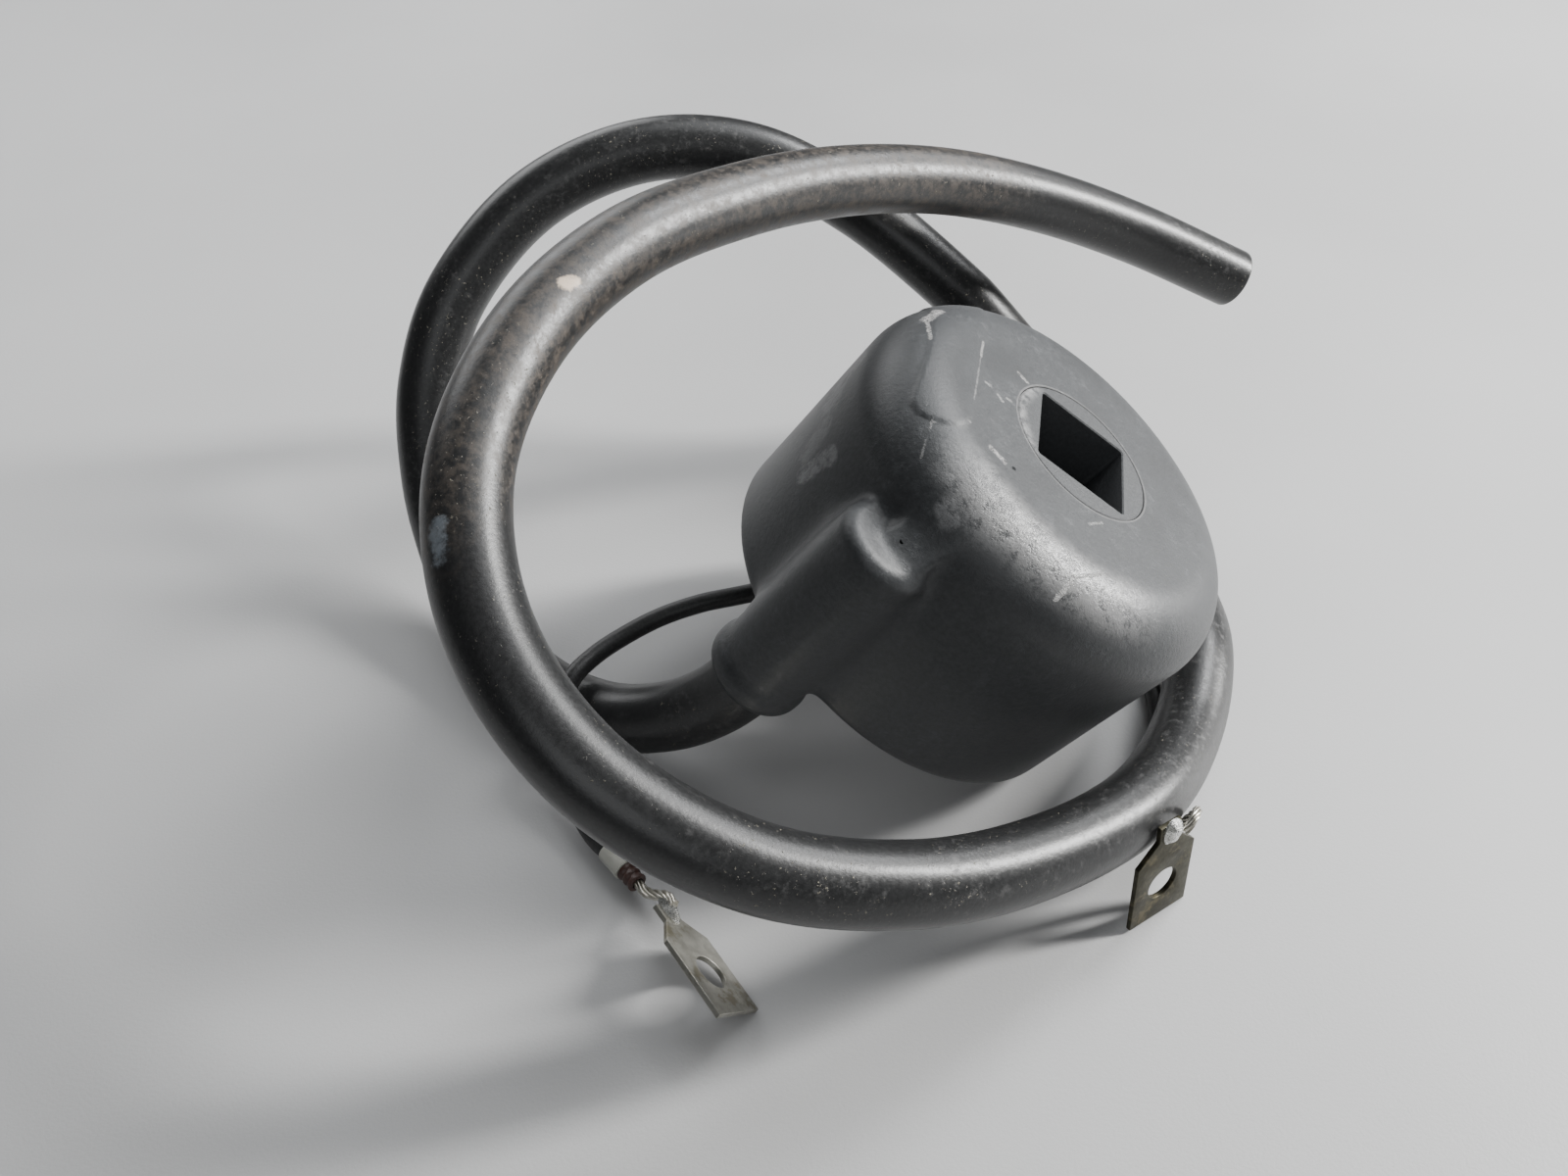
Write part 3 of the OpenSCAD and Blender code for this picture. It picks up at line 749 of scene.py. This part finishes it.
GROOVE = 0.06
PITS = ((-10, -9.5), (-8.5, -10), (-7.5, -10))
HOLE_R, PACK_HOLE_R = FORMER_R + FIT / 2, PACK_R + FIT
BORE_R, CONTACT_HOLE_R = HT_R + FIT, CONTACT_R + FIT
THIN_HOLE_R, JOINT_HOLE_R = THIN_R + FIT / 2, JOINT_R + 0.15

case = mesh_object("coil_case_skin", on_bench(case_points), case_quads.tolist())
cut(case,
    turned_piece("former_hole", [
        (HOLE_R + GROOVE + 1, -1), (HOLE_R + GROOVE, 0), (HOLE_R, GROOVE), (HOLE_R, END_WALL - FIT),
        (PACK_HOLE_R, END_WALL - FIT), (PACK_HOLE_R, BODY_H - END_WALL + FIT),
        (HOLE_R, BODY_H - END_WALL + FIT), (HOLE_R, BODY_H - GROOVE),
        (HOLE_R + GROOVE, BODY_H), (HOLE_R + GROOVE + 1, BODY_H + 1)], COIL),
    turned_piece("tower_bore", [
        (BORE_R + 0.6, -TOWER_TAIL - 0.5), (BORE_R, -TOWER_TAIL + 0.35), (BORE_R, LEAD_DEPTH + FIT),
        (CONTACT_HOLE_R, LEAD_DEPTH + FIT), (CONTACT_HOLE_R, LEAD_DEPTH + CONTACT_T + 2 * FIT)],
        TOWER, 64),
    turned_piece("gate_pit", [(0.2, TOWER_TOP - 0.5), (0.27, TOWER_TOP + 1)], beside(TOWER, 0.7, 0.7), 20),
    *(turned_piece("face_pit", [(0.05, BODY_H - 0.2), (0.3, BODY_H + 0.05)], beside(COIL, *pit), 16)
      for pit in PITS),
    *(turned_piece("lead_hole", [
        (THIN_HOLE_R, -1), (THIN_HOLE_R, THIN_DEPTH + FIT),
        (JOINT_HOLE_R, THIN_DEPTH + FIT), (JOINT_HOLE_R, END_WALL + 0.5)],
        beside(COIL, *spot), 32) for spot in LEAD_XY))
smoothed(case.data, 35)
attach(case, "root")
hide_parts("coil_case")
print("case:", len(case.data.polygons), "faces")

# %% [markdown]
# ## The core former
#
# The former is a round tube with a square window, flush in both faces. It is a loft:
# rings that go down the square window, out over the end face and along the round
# wall, with a fine bevel at each edge. The rings join up with themselves, so the mesh
# is closed by itself.


# %% Former with a square window
def square_ring(half, corner, angles):
    """Points of a square with rounded corners, one in each of these directions."""
    inner = half - corner
    out = []
    for a in angles:
        c, s = abs(math.cos(a)), abs(math.sin(a))
        r = half / max(c, s)
        if min(c, s) * r > inner:
            b = inner * (c + s)
            r = b + math.sqrt(max(0, b * b - 2 * inner * inner + corner * corner))
        out.append((r * math.cos(a), r * math.sin(a)))
    return np.array(out)


corner_turns = np.radians([-44, -36, -28, -20, -12, -4, 4, 12, 20, 28, 36, 41, 42, 43, 43.7, 44.3, 45])
quarter = np.sort(np.concatenate([corner_turns, -corner_turns[11:16]]))
window_angles = np.concatenate([q * math.pi / 2 + quarter for q in range(4)])
round_ring = np.stack([np.cos(window_angles), np.sin(window_angles)], 1)
CORNER_R, CHAMFER, BEVEL = 0.35, 0.12, 0.14
former_rings = []
for z, way in ((0, 1), (BODY_H, -1)):
    face = [(square_ring(WINDOW / 2, CORNER_R, window_angles), z + way * CHAMFER),
            (square_ring(WINDOW / 2 + CHAMFER, CORNER_R + 0.07, window_angles), z),
            (round_ring * (FORMER_R - BEVEL), z), (round_ring * FORMER_R, z + way * BEVEL)]
    former_rings += face if way > 0 else face[::-1]
count = len(window_angles)
former_points = np.vstack([np.column_stack([ring, np.full(count, z)]) for ring, z in former_rings])
former_faces = loft_faces(len(former_rings), count, True)
former = mesh_object("core_former_skin", on_bench(former_points), former_faces, smooth_angle=30)
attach(former, "root")
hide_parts("core_former")
print("former:", len(former.data.polygons), "faces")

# %% [markdown]
# ## Moulded plastic
#
# The moulding is a charcoal thermoset, dull and slightly mottled on its face. Years
# of handling show in a few exact places: the near rim is rubbed bright, small nicks
# sit by the pad and the window, and the side is scuffed. Noise alone would spread
# such wear evenly, which reads as a pattern. So each mark is a stroke from one place
# to another, in mm, set on the face or on the side of the coil's own frame, and a
# noise only tears its border.
# The lighter colour on the near rim is partly that wear and partly a painted highlight. Three strokes on
# the pad's right edge paint its highlight, two pale patches on the rim by the tower paint the light on
# that corner, and a thin line round the former paints the highlight of its edge.


# %% Moulding and former finish
def marks(shade, at, strokes):
    """One mask for many strokes of (start, end, width, strength, ragged)."""
    total = None
    for start, end, width, strength, ragged in strokes:
        mask = shade.stroke(at, start, end, width, ragged) * strength
        total = mask if total is None else total.math("MAXIMUM", mask)
    return total


def on_face(x, y):
    """The place on the face or its rounded rim over that x and y."""
    past = max(0, math.hypot(x, y) - BODY_R + RIM_R)
    return x, y, BODY_H - RIM_R + math.sqrt(max(0, RIM_R ** 2 - past ** 2))


def on_side(degrees, height):
    """The place on the round wall at that angle and height."""
    a = math.radians(degrees)
    return BODY_R * math.cos(a), BODY_R * math.sin(a), height


NICKS_AND_PAD_HIGHLIGHT = [
    (on_face(-18, 5), on_face(-17, 7.5), 0.75, 1.0, 1.0),
    (on_face(-18, 5), on_face(-17.5, 1), 0.30, 0.7, 0.5),
    # The next three strokes run along the pad's right edge and round its lower end: a painted highlight of
    # that raised edge.
    (on_face(-12.5, 5.5), on_face(-12.5, 3), 0.24, 0.7, 0.3),
    (on_face(-12.5, 3), on_face(-12.5, -4.5), 0.17, 0.35, 0.4),
    (on_face(-12.5, -8), on_face(-15.5, -10), 0.20, 0.4, 0.5),
    (on_face(-8, 5), on_face(-7, 4.5), 0.32, 0.8, 0.6),
    (on_face(-11.5, -0.5), on_face(-11, -0.5), 0.26, 0.6, 0.5),
    (on_face(-10, -1), on_face(-9.5, -1.5), 0.24, 0.7, 0.5),
    (on_face(-9, -0.5), on_face(-8.5, -0.5), 0.2, 0.6, 0.3),
    (on_face(-10, -9.5), on_face(-8.5, -10), 0.42, 1.0, 1.1),
    (on_face(1, -10), on_face(2.5, -8.5), 0.17, 0.5, 0.4),
    (on_face(-0.5, -19.5), on_face(0, -17.5), 0.30, 0.8, 0.6),
    (on_face(0, -17.5), on_face(2.5, -15.5), 0.20, 0.6, 0.5),
    (on_face(-15, -13), on_face(-15.5, -9.5), 0.18, 0.3, 0.4)]
SCUFFS_AND_LIT_PATCHES = [
    # The first two strokes, on the rim beside the tower, are painted light on the corner between the
    # tower's end and the rim. The others are scuffs on the side.
    (on_face(-11.5, -16.5), on_face(-11, -17), 1.4, 0.9, 1.0),
    (on_face(-8.5, -16.5), on_face(-12, -13), 3.4, 0.5, 2.4),
    (on_side(-160, 11), on_side(-157, 15), 1.3, 0.9, 1.6),
    (on_side(-168, 14.5), on_side(-165, 12), 1.7, 0.45, 1.6),
    (on_side(-176, 15.5), on_side(171, 18.5), 2.2, 0.6, 3.2),
    (on_side(177, 19), on_side(165, 19), 1.6, 0.7, 2.4)]

shade = Shade("moulding")
at = shade.place(of_coil=True)
x, y, z = (shade.axis(at, name) for name in "XYZ")
radius = (x * x + y * y).math("SQRT")
angle = y.math("ARCTAN2", x)
fine = shade.noise(at, 2.2, 5, 0.7)
mottle = shade.noise(at, 0.8, 5, 0.75)
cloud = shade.noise(at, 0.16, 4, 0.6)
front = shade.step(z, BODY_H - 1.6, BODY_H - 0.2)
# The band on the near rim: its lower roughness is rubbing, and its lighter colour is partly wear and
# partly a painted highlight.
rubbed_sheen_band = shade.step(radius, 13.6, 16.6) * shade.step(radius, 20.4, 18.2) * shade.step(z, 20, 22)
rubbed_sheen_band = rubbed_sheen_band * shade.step(angle, -2.45, -2.05) * shade.step(angle, -0.9, -1.35)
wear_and_highlight = rubbed_sheen_band * shade.step(mottle + shade.noise(at, 3.0, 3, 0.8) * 0.3, 0.48, 0.68)
dusty = shade.step(mottle, 0.50, 0.75) * shade.step(cloud, 0.38, 0.6)
nicks_and_pad_highlight = marks(shade, at, NICKS_AND_PAD_HIGHLIGHT) * shade.step(shade.noise(at, 3.6, 4, 0.8), 0.34, 0.56)
scuffs_and_lit_patches = marks(shade, at, SCUFFS_AND_LIT_PATCHES) * shade.step(mottle + fine * 0.3, 0.46, 0.74)
# Painted highlight: a thin lighter line round the edge of the former's hole, on the face.
hole_edge_highlight = shade.step((radius - FORMER_R - 0.14).math("ABSOLUTE"), 0.16, 0.05) * front
base = shade.blend(shade.step(fine, 0.3, 0.7), grey(0.029, -0.06), grey(0.044, -0.05))
base = shade.blend(front * 0.35 + dusty * 0.5, base, grey(0.072, -0.06))
base = shade.blend(shade.step(cloud, 0.52, 0.36) * front * 0.35, base, grey(0.030, -0.04))
# Lighter scuffs, and the painted light on the rim by the tower.
base = shade.blend(scuffs_and_lit_patches * 0.75, base, grey(0.19, -0.01))
# Painted highlight, partly wear: the rim band and its speckles are lighter.
base = shade.blend(rubbed_sheen_band * 0.3, base, grey(0.14))
base = shade.blend(wear_and_highlight * 0.55, base, grey(0.32, 0.01))
# Nicks, the pad edge's painted highlight and the painted line round the hole, in a light grey.
base = shade.blend(nicks_and_pad_highlight + hole_edge_highlight * 0.25, base, grey(0.38, 0.02))
MOULDING = shade.done(
    Base_Color=base,
    Roughness=0.38 + fine * 0.14 - rubbed_sheen_band * 0.17 + dusty * 0.10,
    Specular_IOR_Level=0.5,
    Normal=shade.bump(fine * 0.5 + dusty * 0.3 + wear_and_highlight * 0.3 + nicks_and_pad_highlight * 0.8 + scuffs_and_lit_patches * 0.3, 0.00007))
dress(case, MOULDING)

shade = Shade("former_plastic")
at = shade.place(of_coil=True)
x, y, z = (shade.axis(at, name) for name in "XYZ")
radius = (x * x + y * y).math("SQRT")
fine = shade.noise(at, 2.4, 4, 0.7)
crescent = shade.step(radius, FORMER_R - 1.5, FORMER_R - 0.3) * shade.step(x, -4.6, -6.4)
crescent = crescent * shade.step(shade.noise(at, 0.9, 4, 0.7), 0.35, 0.6)
# Painted highlight: a lighter line on the former's outer edge.
edge = shade.step(radius, FORMER_R - 0.2, FORMER_R - 0.05)
base = shade.blend(shade.step(fine, 0.3, 0.7), grey(0.044, -0.05), grey(0.060, -0.05))
base = shade.blend(crescent * 0.8 + edge * 0.3, base, grey(0.26))
FORMER_PLASTIC = shade.done(
    Base_Color=base,
    Roughness=0.42 + fine * 0.15,
    Normal=shade.bump(fine, 0.00005))
dress(former, FORMER_PLASTIC)
print("moulding finished")

# %% [markdown]
# ## Stranded wire with Geometry Nodes
#
# Bare wire is a bundle of round strands that twist about each other. That repeats and
# follows a path, which is what Geometry Nodes are for: circles on a hexagon are the
# profile, and the tilt of the path grows along it, so one Curve to Mesh makes all the
# strands at once. A little noise keeps them from lying too evenly.


# %% Strand tree
class Tree:
    """A Geometry Nodes group being built, with named inputs and one output."""

    def __init__(self, name, inputs, output):
        self.tree = bpy.data.node_groups.new(name, "GeometryNodeTree")
        face = self.tree.interface
        for label, kind in inputs:
            face.new_socket(label, in_out="INPUT", socket_type="NodeSocket" + kind)
        face.new_socket(output, in_out="OUTPUT", socket_type="NodeSocketGeometry")

    def node(self, kind, settings=None, sockets=None):
        new = self.tree.nodes.new(kind)
        for key, value in (settings or {}).items():
            setattr(new, key, value)
        for key, value in (sockets or {}).items():
            if isinstance(value, bpy.types.NodeSocket):
                self.tree.links.new(value, new.inputs[key])
            else:
                new.inputs[key].default_value = value
        return new

    def out(self, kind, settings=None, sockets=None):
        """The first output of a new node."""
        return self.node(kind, settings, sockets).outputs[0]

    def scaled(self, value, factor):
        return self.out("ShaderNodeMath", {"operation": "MULTIPLY"}, {0: value, 1: factor})


def strand_profile(tree, radius, second_layer):
    """Circles at the middle and the corners of one hexagon, and round a second layer."""
    layers = [tree.out("GeometryNodePoints", None, {"Count": 1})]
    for sides, share in ((6, 2.02), (12, 3.92)):
        size = tree.scaled(radius, share)
        hexagon = tree.out("GeometryNodeMeshCircle", None, {"Vertices": sides, "Radius": size})
        layers.append(tree.out("GeometryNodeMeshToPoints", None, {"Mesh": hexagon}))
    second = tree.out("GeometryNodeSwitch", {"input_type": "GEOMETRY"},
                      {"Switch": second_layer, "True": layers.pop()})
    spots = tree.node("GeometryNodeJoinGeometry")
    for layer in (*layers, second):
        tree.tree.links.new(layer, spots.inputs[0])
    circle = tree.out("GeometryNodeCurvePrimitiveCircle", None, {"Resolution": 10, "Radius": radius})
    circles = tree.out("GeometryNodeInstanceOnPoints", None,
                       {"Points": spots.outputs[0], "Instance": circle})
    return tree.out("GeometryNodeRealizeInstances", None, {"Geometry": circles})


def drift(tree, seed, looseness):
    """A small offset by noise, so that no strand lies quite evenly."""
    wave = tree.node("ShaderNodeTexNoise", {"noise_dimensions": "4D"},
                     {"Scale": 900.0, "Detail": 1.0, "W": seed}).outputs["Color"]
    centred = tree.out("ShaderNodeVectorMath", {"operation": "SUBTRACT"}, {0: wave, 1: (0.5,) * 3})
    return tree.out("ShaderNodeVectorMath", {"operation": "SCALE"}, {0: centred, "Scale": looseness})


def strand_tree():
    """A node group that turns a curve into a bundle of twisted strands."""
    tree = Tree("twisted_strands", [
        ("Path", "Geometry"), ("Strand Radius", "Float"), ("Twist", "Float"), ("Looseness", "Float"),
        ("Second Layer", "Bool"), ("Seed", "Float"), ("Material", "Material")], "Strands")
    given = tree.node("NodeGroupInput").outputs
    profile = strand_profile(tree, given["Strand Radius"], given["Second Layer"])
    path = tree.out("GeometryNodeResampleCurve", None, {"Curve": given["Path"], "Count": 60})
    run = tree.node("GeometryNodeSplineParameter").outputs["Length"]
    tilt = tree.scaled(run, given["Twist"])
    turned = tree.out("GeometryNodeSetCurveTilt", None, {"Curve": path, "Tilt": tilt})
    bundle = tree.out("GeometryNodeCurveToMesh", None,
                      {"Curve": turned, "Profile Curve": profile, "Fill Caps": True})
    offset = drift(tree, given["Seed"], given["Looseness"])
    moved = tree.out("GeometryNodeSetPosition", None, {"Geometry": bundle, "Offset": offset})
    smooth = tree.out("GeometryNodeSetShadeSmooth", None, {"Geometry": moved})
    real = tree.out("GeometryNodeRealizeInstances", None, {"Geometry": smooth})
    final = tree.out("GeometryNodeSetMaterial", None, {"Geometry": real, "Material": given["Material"]})
    tree.tree.links.new(final, tree.node("NodeGroupOutput").inputs[0])
    return tree.tree


STRANDS = strand_tree()


def strands(name, line, radius, twist, material, loose, second, seed):
    """A bundle of strands round a line in mm, as a plain mesh. twist is turns per mm."""
    curve = bpy.data.curves.new(name + "_path", "CURVE")
    curve.dimensions = "3D"
    spline = curve.splines.new("POLY")
    spline.points.add(len(line) - 1)
    places = np.column_stack([np.asarray(line) * MM, np.ones(len(line))])
    spline.points.foreach_set("co", places.ravel())
    holder = in_scene(name + "_path", curve)
    wires = holder.modifiers.new("strands", "NODES")
    wires.node_group = STRANDS
    wanted = {"Strand Radius": radius * MM, "Twist": twist * 2 * math.pi / MM, "Looseness": loose * MM,
              "Second Layer": second, "Seed": seed, "Material": material}
    for socket in STRANDS.interface.items_tree:
        if socket.name in wanted:
            wires[socket.identifier] = wanted[socket.name]
    mesh = plain_mesh(holder)
    bpy.data.objects.remove(holder)
    mesh.name = name
    print(name, len(mesh.polygons), "faces")
    return in_scene(name, mesh)


# %% [markdown]
# ## Metals and small parts' finishes
#
# Tinned copper is pale and soft in its shine, solder is brighter with a dull skin in
# places, and the tabs are plated steel that has tarnished. The second tab has a much
# darker copy of the tab metal, which paints the shade that it lies in. Each metal has
# a noise that moves its colour and roughness, at the size that shows on so small a part.


# %% Metal finishes
def metal(name, dark, light, rough, scale, stain=None):
    """A metal whose colour and roughness drift with a noise of that scale to the mm."""
    shade = Shade(name)
    at = shade.place()
    cloud = shade.noise(at, scale, 5, 0.65)
    fine = shade.noise(at, scale * 5, 3, 0.6)
    base = shade.blend(shade.step(cloud, 0.35, 0.65), dark, light)
    if stain:
        base = shade.blend(shade.step(shade.noise(at, scale * 0.6, 5, 0.7), 0.52, 0.66), base, stain)
    return shade.done(Base_Color=base, Metallic=1.0, Roughness=rough + fine * 0.2,
                      Normal=shade.bump(fine, 0.00002))


TINNED = metal("tinned_wire", (0.42, 0.40, 0.34, 1), (0.66, 0.64, 0.58, 1), 0.25, 1.2)
SOLDER = metal("solder", (0.55, 0.55, 0.53, 1), (0.80, 0.80, 0.78, 1), 0.18, 0.9)
COPPER = metal("copper", (0.45, 0.20, 0.10, 1), (0.72, 0.38, 0.22, 1), 0.3, 1.5)
TAB = metal("tab_metal", (0.36, 0.35, 0.31, 1), (0.50, 0.49, 0.44, 1), 0.34, 0.5,
            (0.26, 0.24, 0.18, 1))
# Painted shade: a darker copy of the tab metal, for the second tab, which lies in shade.
SHADED_TAB = metal("shaded_tab_metal", (0.050, 0.047, 0.034, 1), (0.085, 0.080, 0.058, 1), 0.36, 0.5,
                 (0.16, 0.14, 0.09, 1))
BRASS = metal("contact_brass", (0.50, 0.36, 0.14, 1), (0.72, 0.55, 0.27, 1), 0.28, 0.8)
STEEL = metal("steel", (0.42, 0.42, 0.42, 1), (0.60, 0.60, 0.60, 1), 0.3, 0.8)

shade = Shade("clear_sleeve")
at = shade.place()
CLEAR = shade.done(
    Base_Color=shade.blend(shade.noise(at, 1.2), (0.62, 0.62, 0.55, 1), (0.80, 0.80, 0.74, 1)),
    Roughness=0.3 + shade.noise(at, 3.0) * 0.15, Transmission_Weight=0.55, IOR=1.45,
    Normal=shade.bump(shade.noise(at, 2.0), 0.00003))

shade = Shade("dark_barrel")
at = shade.place()
DARK = shade.done(
    Base_Color=shade.blend(shade.noise(at, 1.5), (0.030, 0.016, 0.013, 1), (0.075, 0.032, 0.024, 1)),
    Roughness=0.3 + shade.noise(at, 4.0) * 0.2, Normal=shade.bump(shade.noise(at, 3.0), 0.00004))
print("metals mixed")

# %% Conductor and bare strands
end_way = ht_line[-1] - ht_line[-2]
end_way /= np.linalg.norm(end_way)
core_line = [ht_line[-1] - end_way * (CORE_L - 0.1), ht_line[-1] + end_way * 0.15]
ht_core = strands("output_conductor", core_line, 0.145, 0.06, COPPER, 0.02, True, 3.0)
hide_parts("ht_conductor")
bare_1 = strands("bare_wire_1", smooth_route(STRANDS_1, 0.15), 0.17, 0.12, TINNED, 0.12, False, 1.0)
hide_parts("bare_strands_1")
bare_2 = strands("bare_wire_2", smooth_route(STRANDS_2, 0.15), 0.14, 0.12, TINNED, 0.10, False, 2.0)
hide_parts("bare_strands_2")
for wire in (ht_core, bare_1, bare_2):
    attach(wire, "root")

# %% [markdown]
# ## Sleeve and barrel on flying lead 1
#
# A short clear sleeve and a dark crimped barrel finish the lead where its wire is
# bared. Both are open tubes that the strands run through. The barrel's radius dips
# twice, where it was crimped.

# %% Sleeve and barrel
sleeve_line = smooth_route(SLEEVE_ENDS, 0.15)
sleeve_r = 1.13 + 0.02 * np.sin(3 * run_of(sleeve_line))
sleeve = dress(swept("sleeve_1", sleeve_line, sleeve_r, 28, 0.1, 0.75), CLEAR)
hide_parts("lead_sleeve")
barrel_line = smooth_route(FERRULE_ENDS, 0.08)
share = run_of(barrel_line) / run_of(barrel_line)[-1]
barrel_r = 0.98 - 0.16 * (np.exp(-((share - 0.33) / 0.1) ** 2) + np.exp(-((share - 0.7) / 0.1) ** 2))
barrel = dress(swept("barrel_1", barrel_line, barrel_r, 28, 0.12, 0.6), DARK)
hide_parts("lead_ferrule")
for piece in (sleeve, barrel):
    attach(piece, "root")
print("sleeve and barrel made")

# %% [markdown]
# ## The screw tabs
#
# A tab is stamped from a strip: a square-ended blade with a screw hole, narrowed to
# a lug. A filled flat curve with a small bevel gives the outline, the hole and the
# worn edges in one go, and it becomes a mesh before it is put in its place.

# %% Tabs
TAB_W, TAB_L, TAB_T, TAB_HOLE = 7.0, 8.0, 0.5, 3.5
LUG_W, TAPER_L, LUG_L = 2.5, 2.2, 1.8
HOLE_Y = -0.46 * TAB_L
TAB_PLACES = (((-23.9, -36.5, 3.9), (11, 51, 51)), ((18.4, -26, 8.1), (80, 2, 38)))


def tab_matrix(place, turn):
    """From a tab's own frame to the bench, in mm."""
    angles = [math.radians(a) for a in turn]
    return (Matrix.Translation(place) @ Matrix.Rotation(angles[2], 4, "Z")
            @ Matrix.Rotation(angles[1], 4, "Y") @ Matrix.Rotation(angles[0], 4, "X"))


def flat_outline(name, rings, thick, bevel):
    """A plate in mm from closed outlines, filled, holes left open, its edges bevelled."""
    curve = bpy.data.curves.new(name, "CURVE")
    curve.dimensions, curve.fill_mode = "2D", "BOTH"
    curve.extrude, curve.offset = thick / 2 - bevel, -bevel
    curve.bevel_depth, curve.bevel_resolution = bevel, 2
    for ring in rings:
        spline = curve.splines.new("POLY")
        spline.points.add(len(ring) - 1)
        spline.use_cyclic_u = True
        for point, (x, y) in zip(spline.points, ring):
            point.co = (x, y, 0, 1)
    holder = in_scene(name, curve)
    mesh = plain_mesh(holder)
    bpy.data.objects.remove(holder)
    shape = bmesh.new()
    shape.from_mesh(mesh)
    bmesh.ops.remove_doubles(shape, verts=shape.verts, dist=1e-4)
    bmesh.ops.recalc_face_normals(shape, faces=shape.faces)
    shape.to_mesh(mesh)
    shape.free()
    return mesh


tab_half = [(TAB_W / 2, -TAB_L), (TAB_W / 2, 0), (LUG_W / 2, TAPER_L), (LUG_W / 2, TAPER_L + LUG_L)]
tab_ring = [(-TAB_W / 2, -TAB_L), *tab_half, *[(-x, y) for x, y in tab_half[:0:-1]]]
hole_ring = [(TAB_HOLE / 2 * math.cos(a), HOLE_Y + TAB_HOLE / 2 * math.sin(a))
             for a in np.linspace(0, 2 * math.pi, 48, endpoint=False)]
tabs, tab_frames = [], [tab_matrix(*where) for where in TAB_PLACES]
for number, matrix in enumerate(tab_frames, 1):
    plate = flat_outline(f"tab_plate_{number}", [tab_ring, hole_ring], TAB_T, 0.05)
    plate.transform(Matrix.Scale(MM, 4) @ matrix)
    # The second tab takes the darker copy of the metal: painted shade.
    tab = dress(in_scene(f"tab_plate_{number}", smoothed(plate, 35)), TAB if number == 1 else SHADED_TAB)
    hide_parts(f"screw_tab_{number}")
    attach(tab, "root")
    tabs.append(tab)
print("tabs:", [len(t.data.polygons) for t in tabs], "faces")

# %% [markdown]
# ## The solder beads
#
# A bead of solder is a drop that has wetted the lug: round above, thin at its foot.
# Two balls joined by a smooth minimum, cut at the lug's face, give that, so the
# surface net that made the moulding makes the beads as well.


# %% Solder
def bead_field(p):
    """Distance to a bead, in its tab's frame."""
    ends = [((0, TAPER_L + 0.4, TAB_T / 2), 0.62), ((0.1, TAPER_L + LUG_L - 0.4, TAB_T / 2), 0.85)]
    balls = [np.linalg.norm(p - np.array(c), axis=-1) - r for c, r in ends]
    drop = smooth_min(*balls, 1.1)
    foot = np.hypot(p[..., 0] / 0.9, (p[..., 1] - TAPER_L - 0.9) / 1.4) - 1
    foot = np.maximum(foot, np.abs(p[..., 2] - TAB_T / 2) - 0.08)
    ripple = 0.03 * np.sin(5 * p[..., 0] + 2) * np.sin(4 * p[..., 1])
    return np.maximum(smooth_min(drop, foot, 0.7) + ripple, TAB_T / 2 - p[..., 2])


beads = []
for number, matrix in enumerate(tab_frames, 1):
    points, quads = surface_net(bead_field, (-1.4, 1, -0.2), (1.4, 5.1, 1.6), 0.07)
    skin = mesh_object(f"solder_{number}", on_bench(points, matrix), quads.tolist(), smooth_angle=50)
    bead = dress(skin, SOLDER)
    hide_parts(f"solder_joint_{number}")
    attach(bead, "root")
    beads.append(bead)
print("beads:", [len(b.data.polygons) for b in beads], "faces")

# %% [markdown]
# ## The flying leads and their pieces
#
# The pieces that hang on each flying lead are listed with it. Nothing else is done with them here.

hangers = [[sleeve, barrel, bare_1, beads[0], tabs[0]], [bare_2, beads[1], tabs[1]]]
for lead, line, pieces in zip(thin_leads, thin_lines, hangers):
    line[0] * MM
    line * MM

# %% [markdown]
# ## What is inside
#
# The winding and its contacts are sealed in the moulding. They keep the packed
# meshes, and each gets a finish of its own: enamelled wire shows its turns as fine
# rings round the axis, paper and tape their fibres.


# %% Inner finishes
def wound(name, dark, light, pitch):
    """Enamelled wire wound round the coil's axis, one ring to each pitch in mm."""
    shade = Shade(name)
    at = shade.place(of_coil=True)
    z = shade.axis(at, "Z")
    turns = (z * (2 * math.pi / pitch)).math("SINE") * 0.5 + 0.5
    base = shade.blend(turns, dark, light)
    return shade.done(Base_Color=base, Metallic=0.6, Roughness=0.3 + shade.noise(at, 1.5) * 0.2,
                      Normal=shade.bump(turns, 0.0001))


def fibrous(name, dark, light, rough=0.75):
    """Paper, board or tape: fibres drawn out round the coil."""
    shade = Shade(name)
    at = shade.place(of_coil=True)
    drawn = shade.node("Mapping", {}, {"Vector": at, "Scale": (0.5, 0.5, 3.0)})
    fibre = shade.noise(drawn, 1.4, 5, 0.7)
    return shade.done(Base_Color=shade.blend(shade.step(fibre, 0.3, 0.7), dark, light),
                      Roughness=rough - fibre * 0.1, Normal=shade.bump(fibre, 0.00005))


INNER = {
    "front_cheek": fibrous("cheek_board", (0.16, 0.09, 0.04, 1), (0.26, 0.16, 0.08, 1)),
    "winding_paper": fibrous("paper", (0.55, 0.45, 0.28, 1), (0.70, 0.60, 0.42, 1)),
    "outer_wrap": fibrous("tape", (0.48, 0.40, 0.22, 1), (0.62, 0.54, 0.34, 1), 0.6),
    "primary_winding": wound("primary_wire", (0.22, 0.07, 0.03, 1), (0.55, 0.24, 0.11, 1), 0.6),
    "secondary_winding": wound("secondary_wire", (0.25, 0.08, 0.03, 1), (0.52, 0.20, 0.08, 1), 0.12),
    "ht_tail": COPPER, "ht_contact": BRASS, "ht_spike": STEEL,
    "lead_joint_1": SOLDER, "lead_joint_2": SOLDER}
INNER["rear_cheek"] = INNER["front_cheek"]
for name, material in INNER.items():
    dress(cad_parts[name], material)
print("inner pieces finished:", len(INNER))
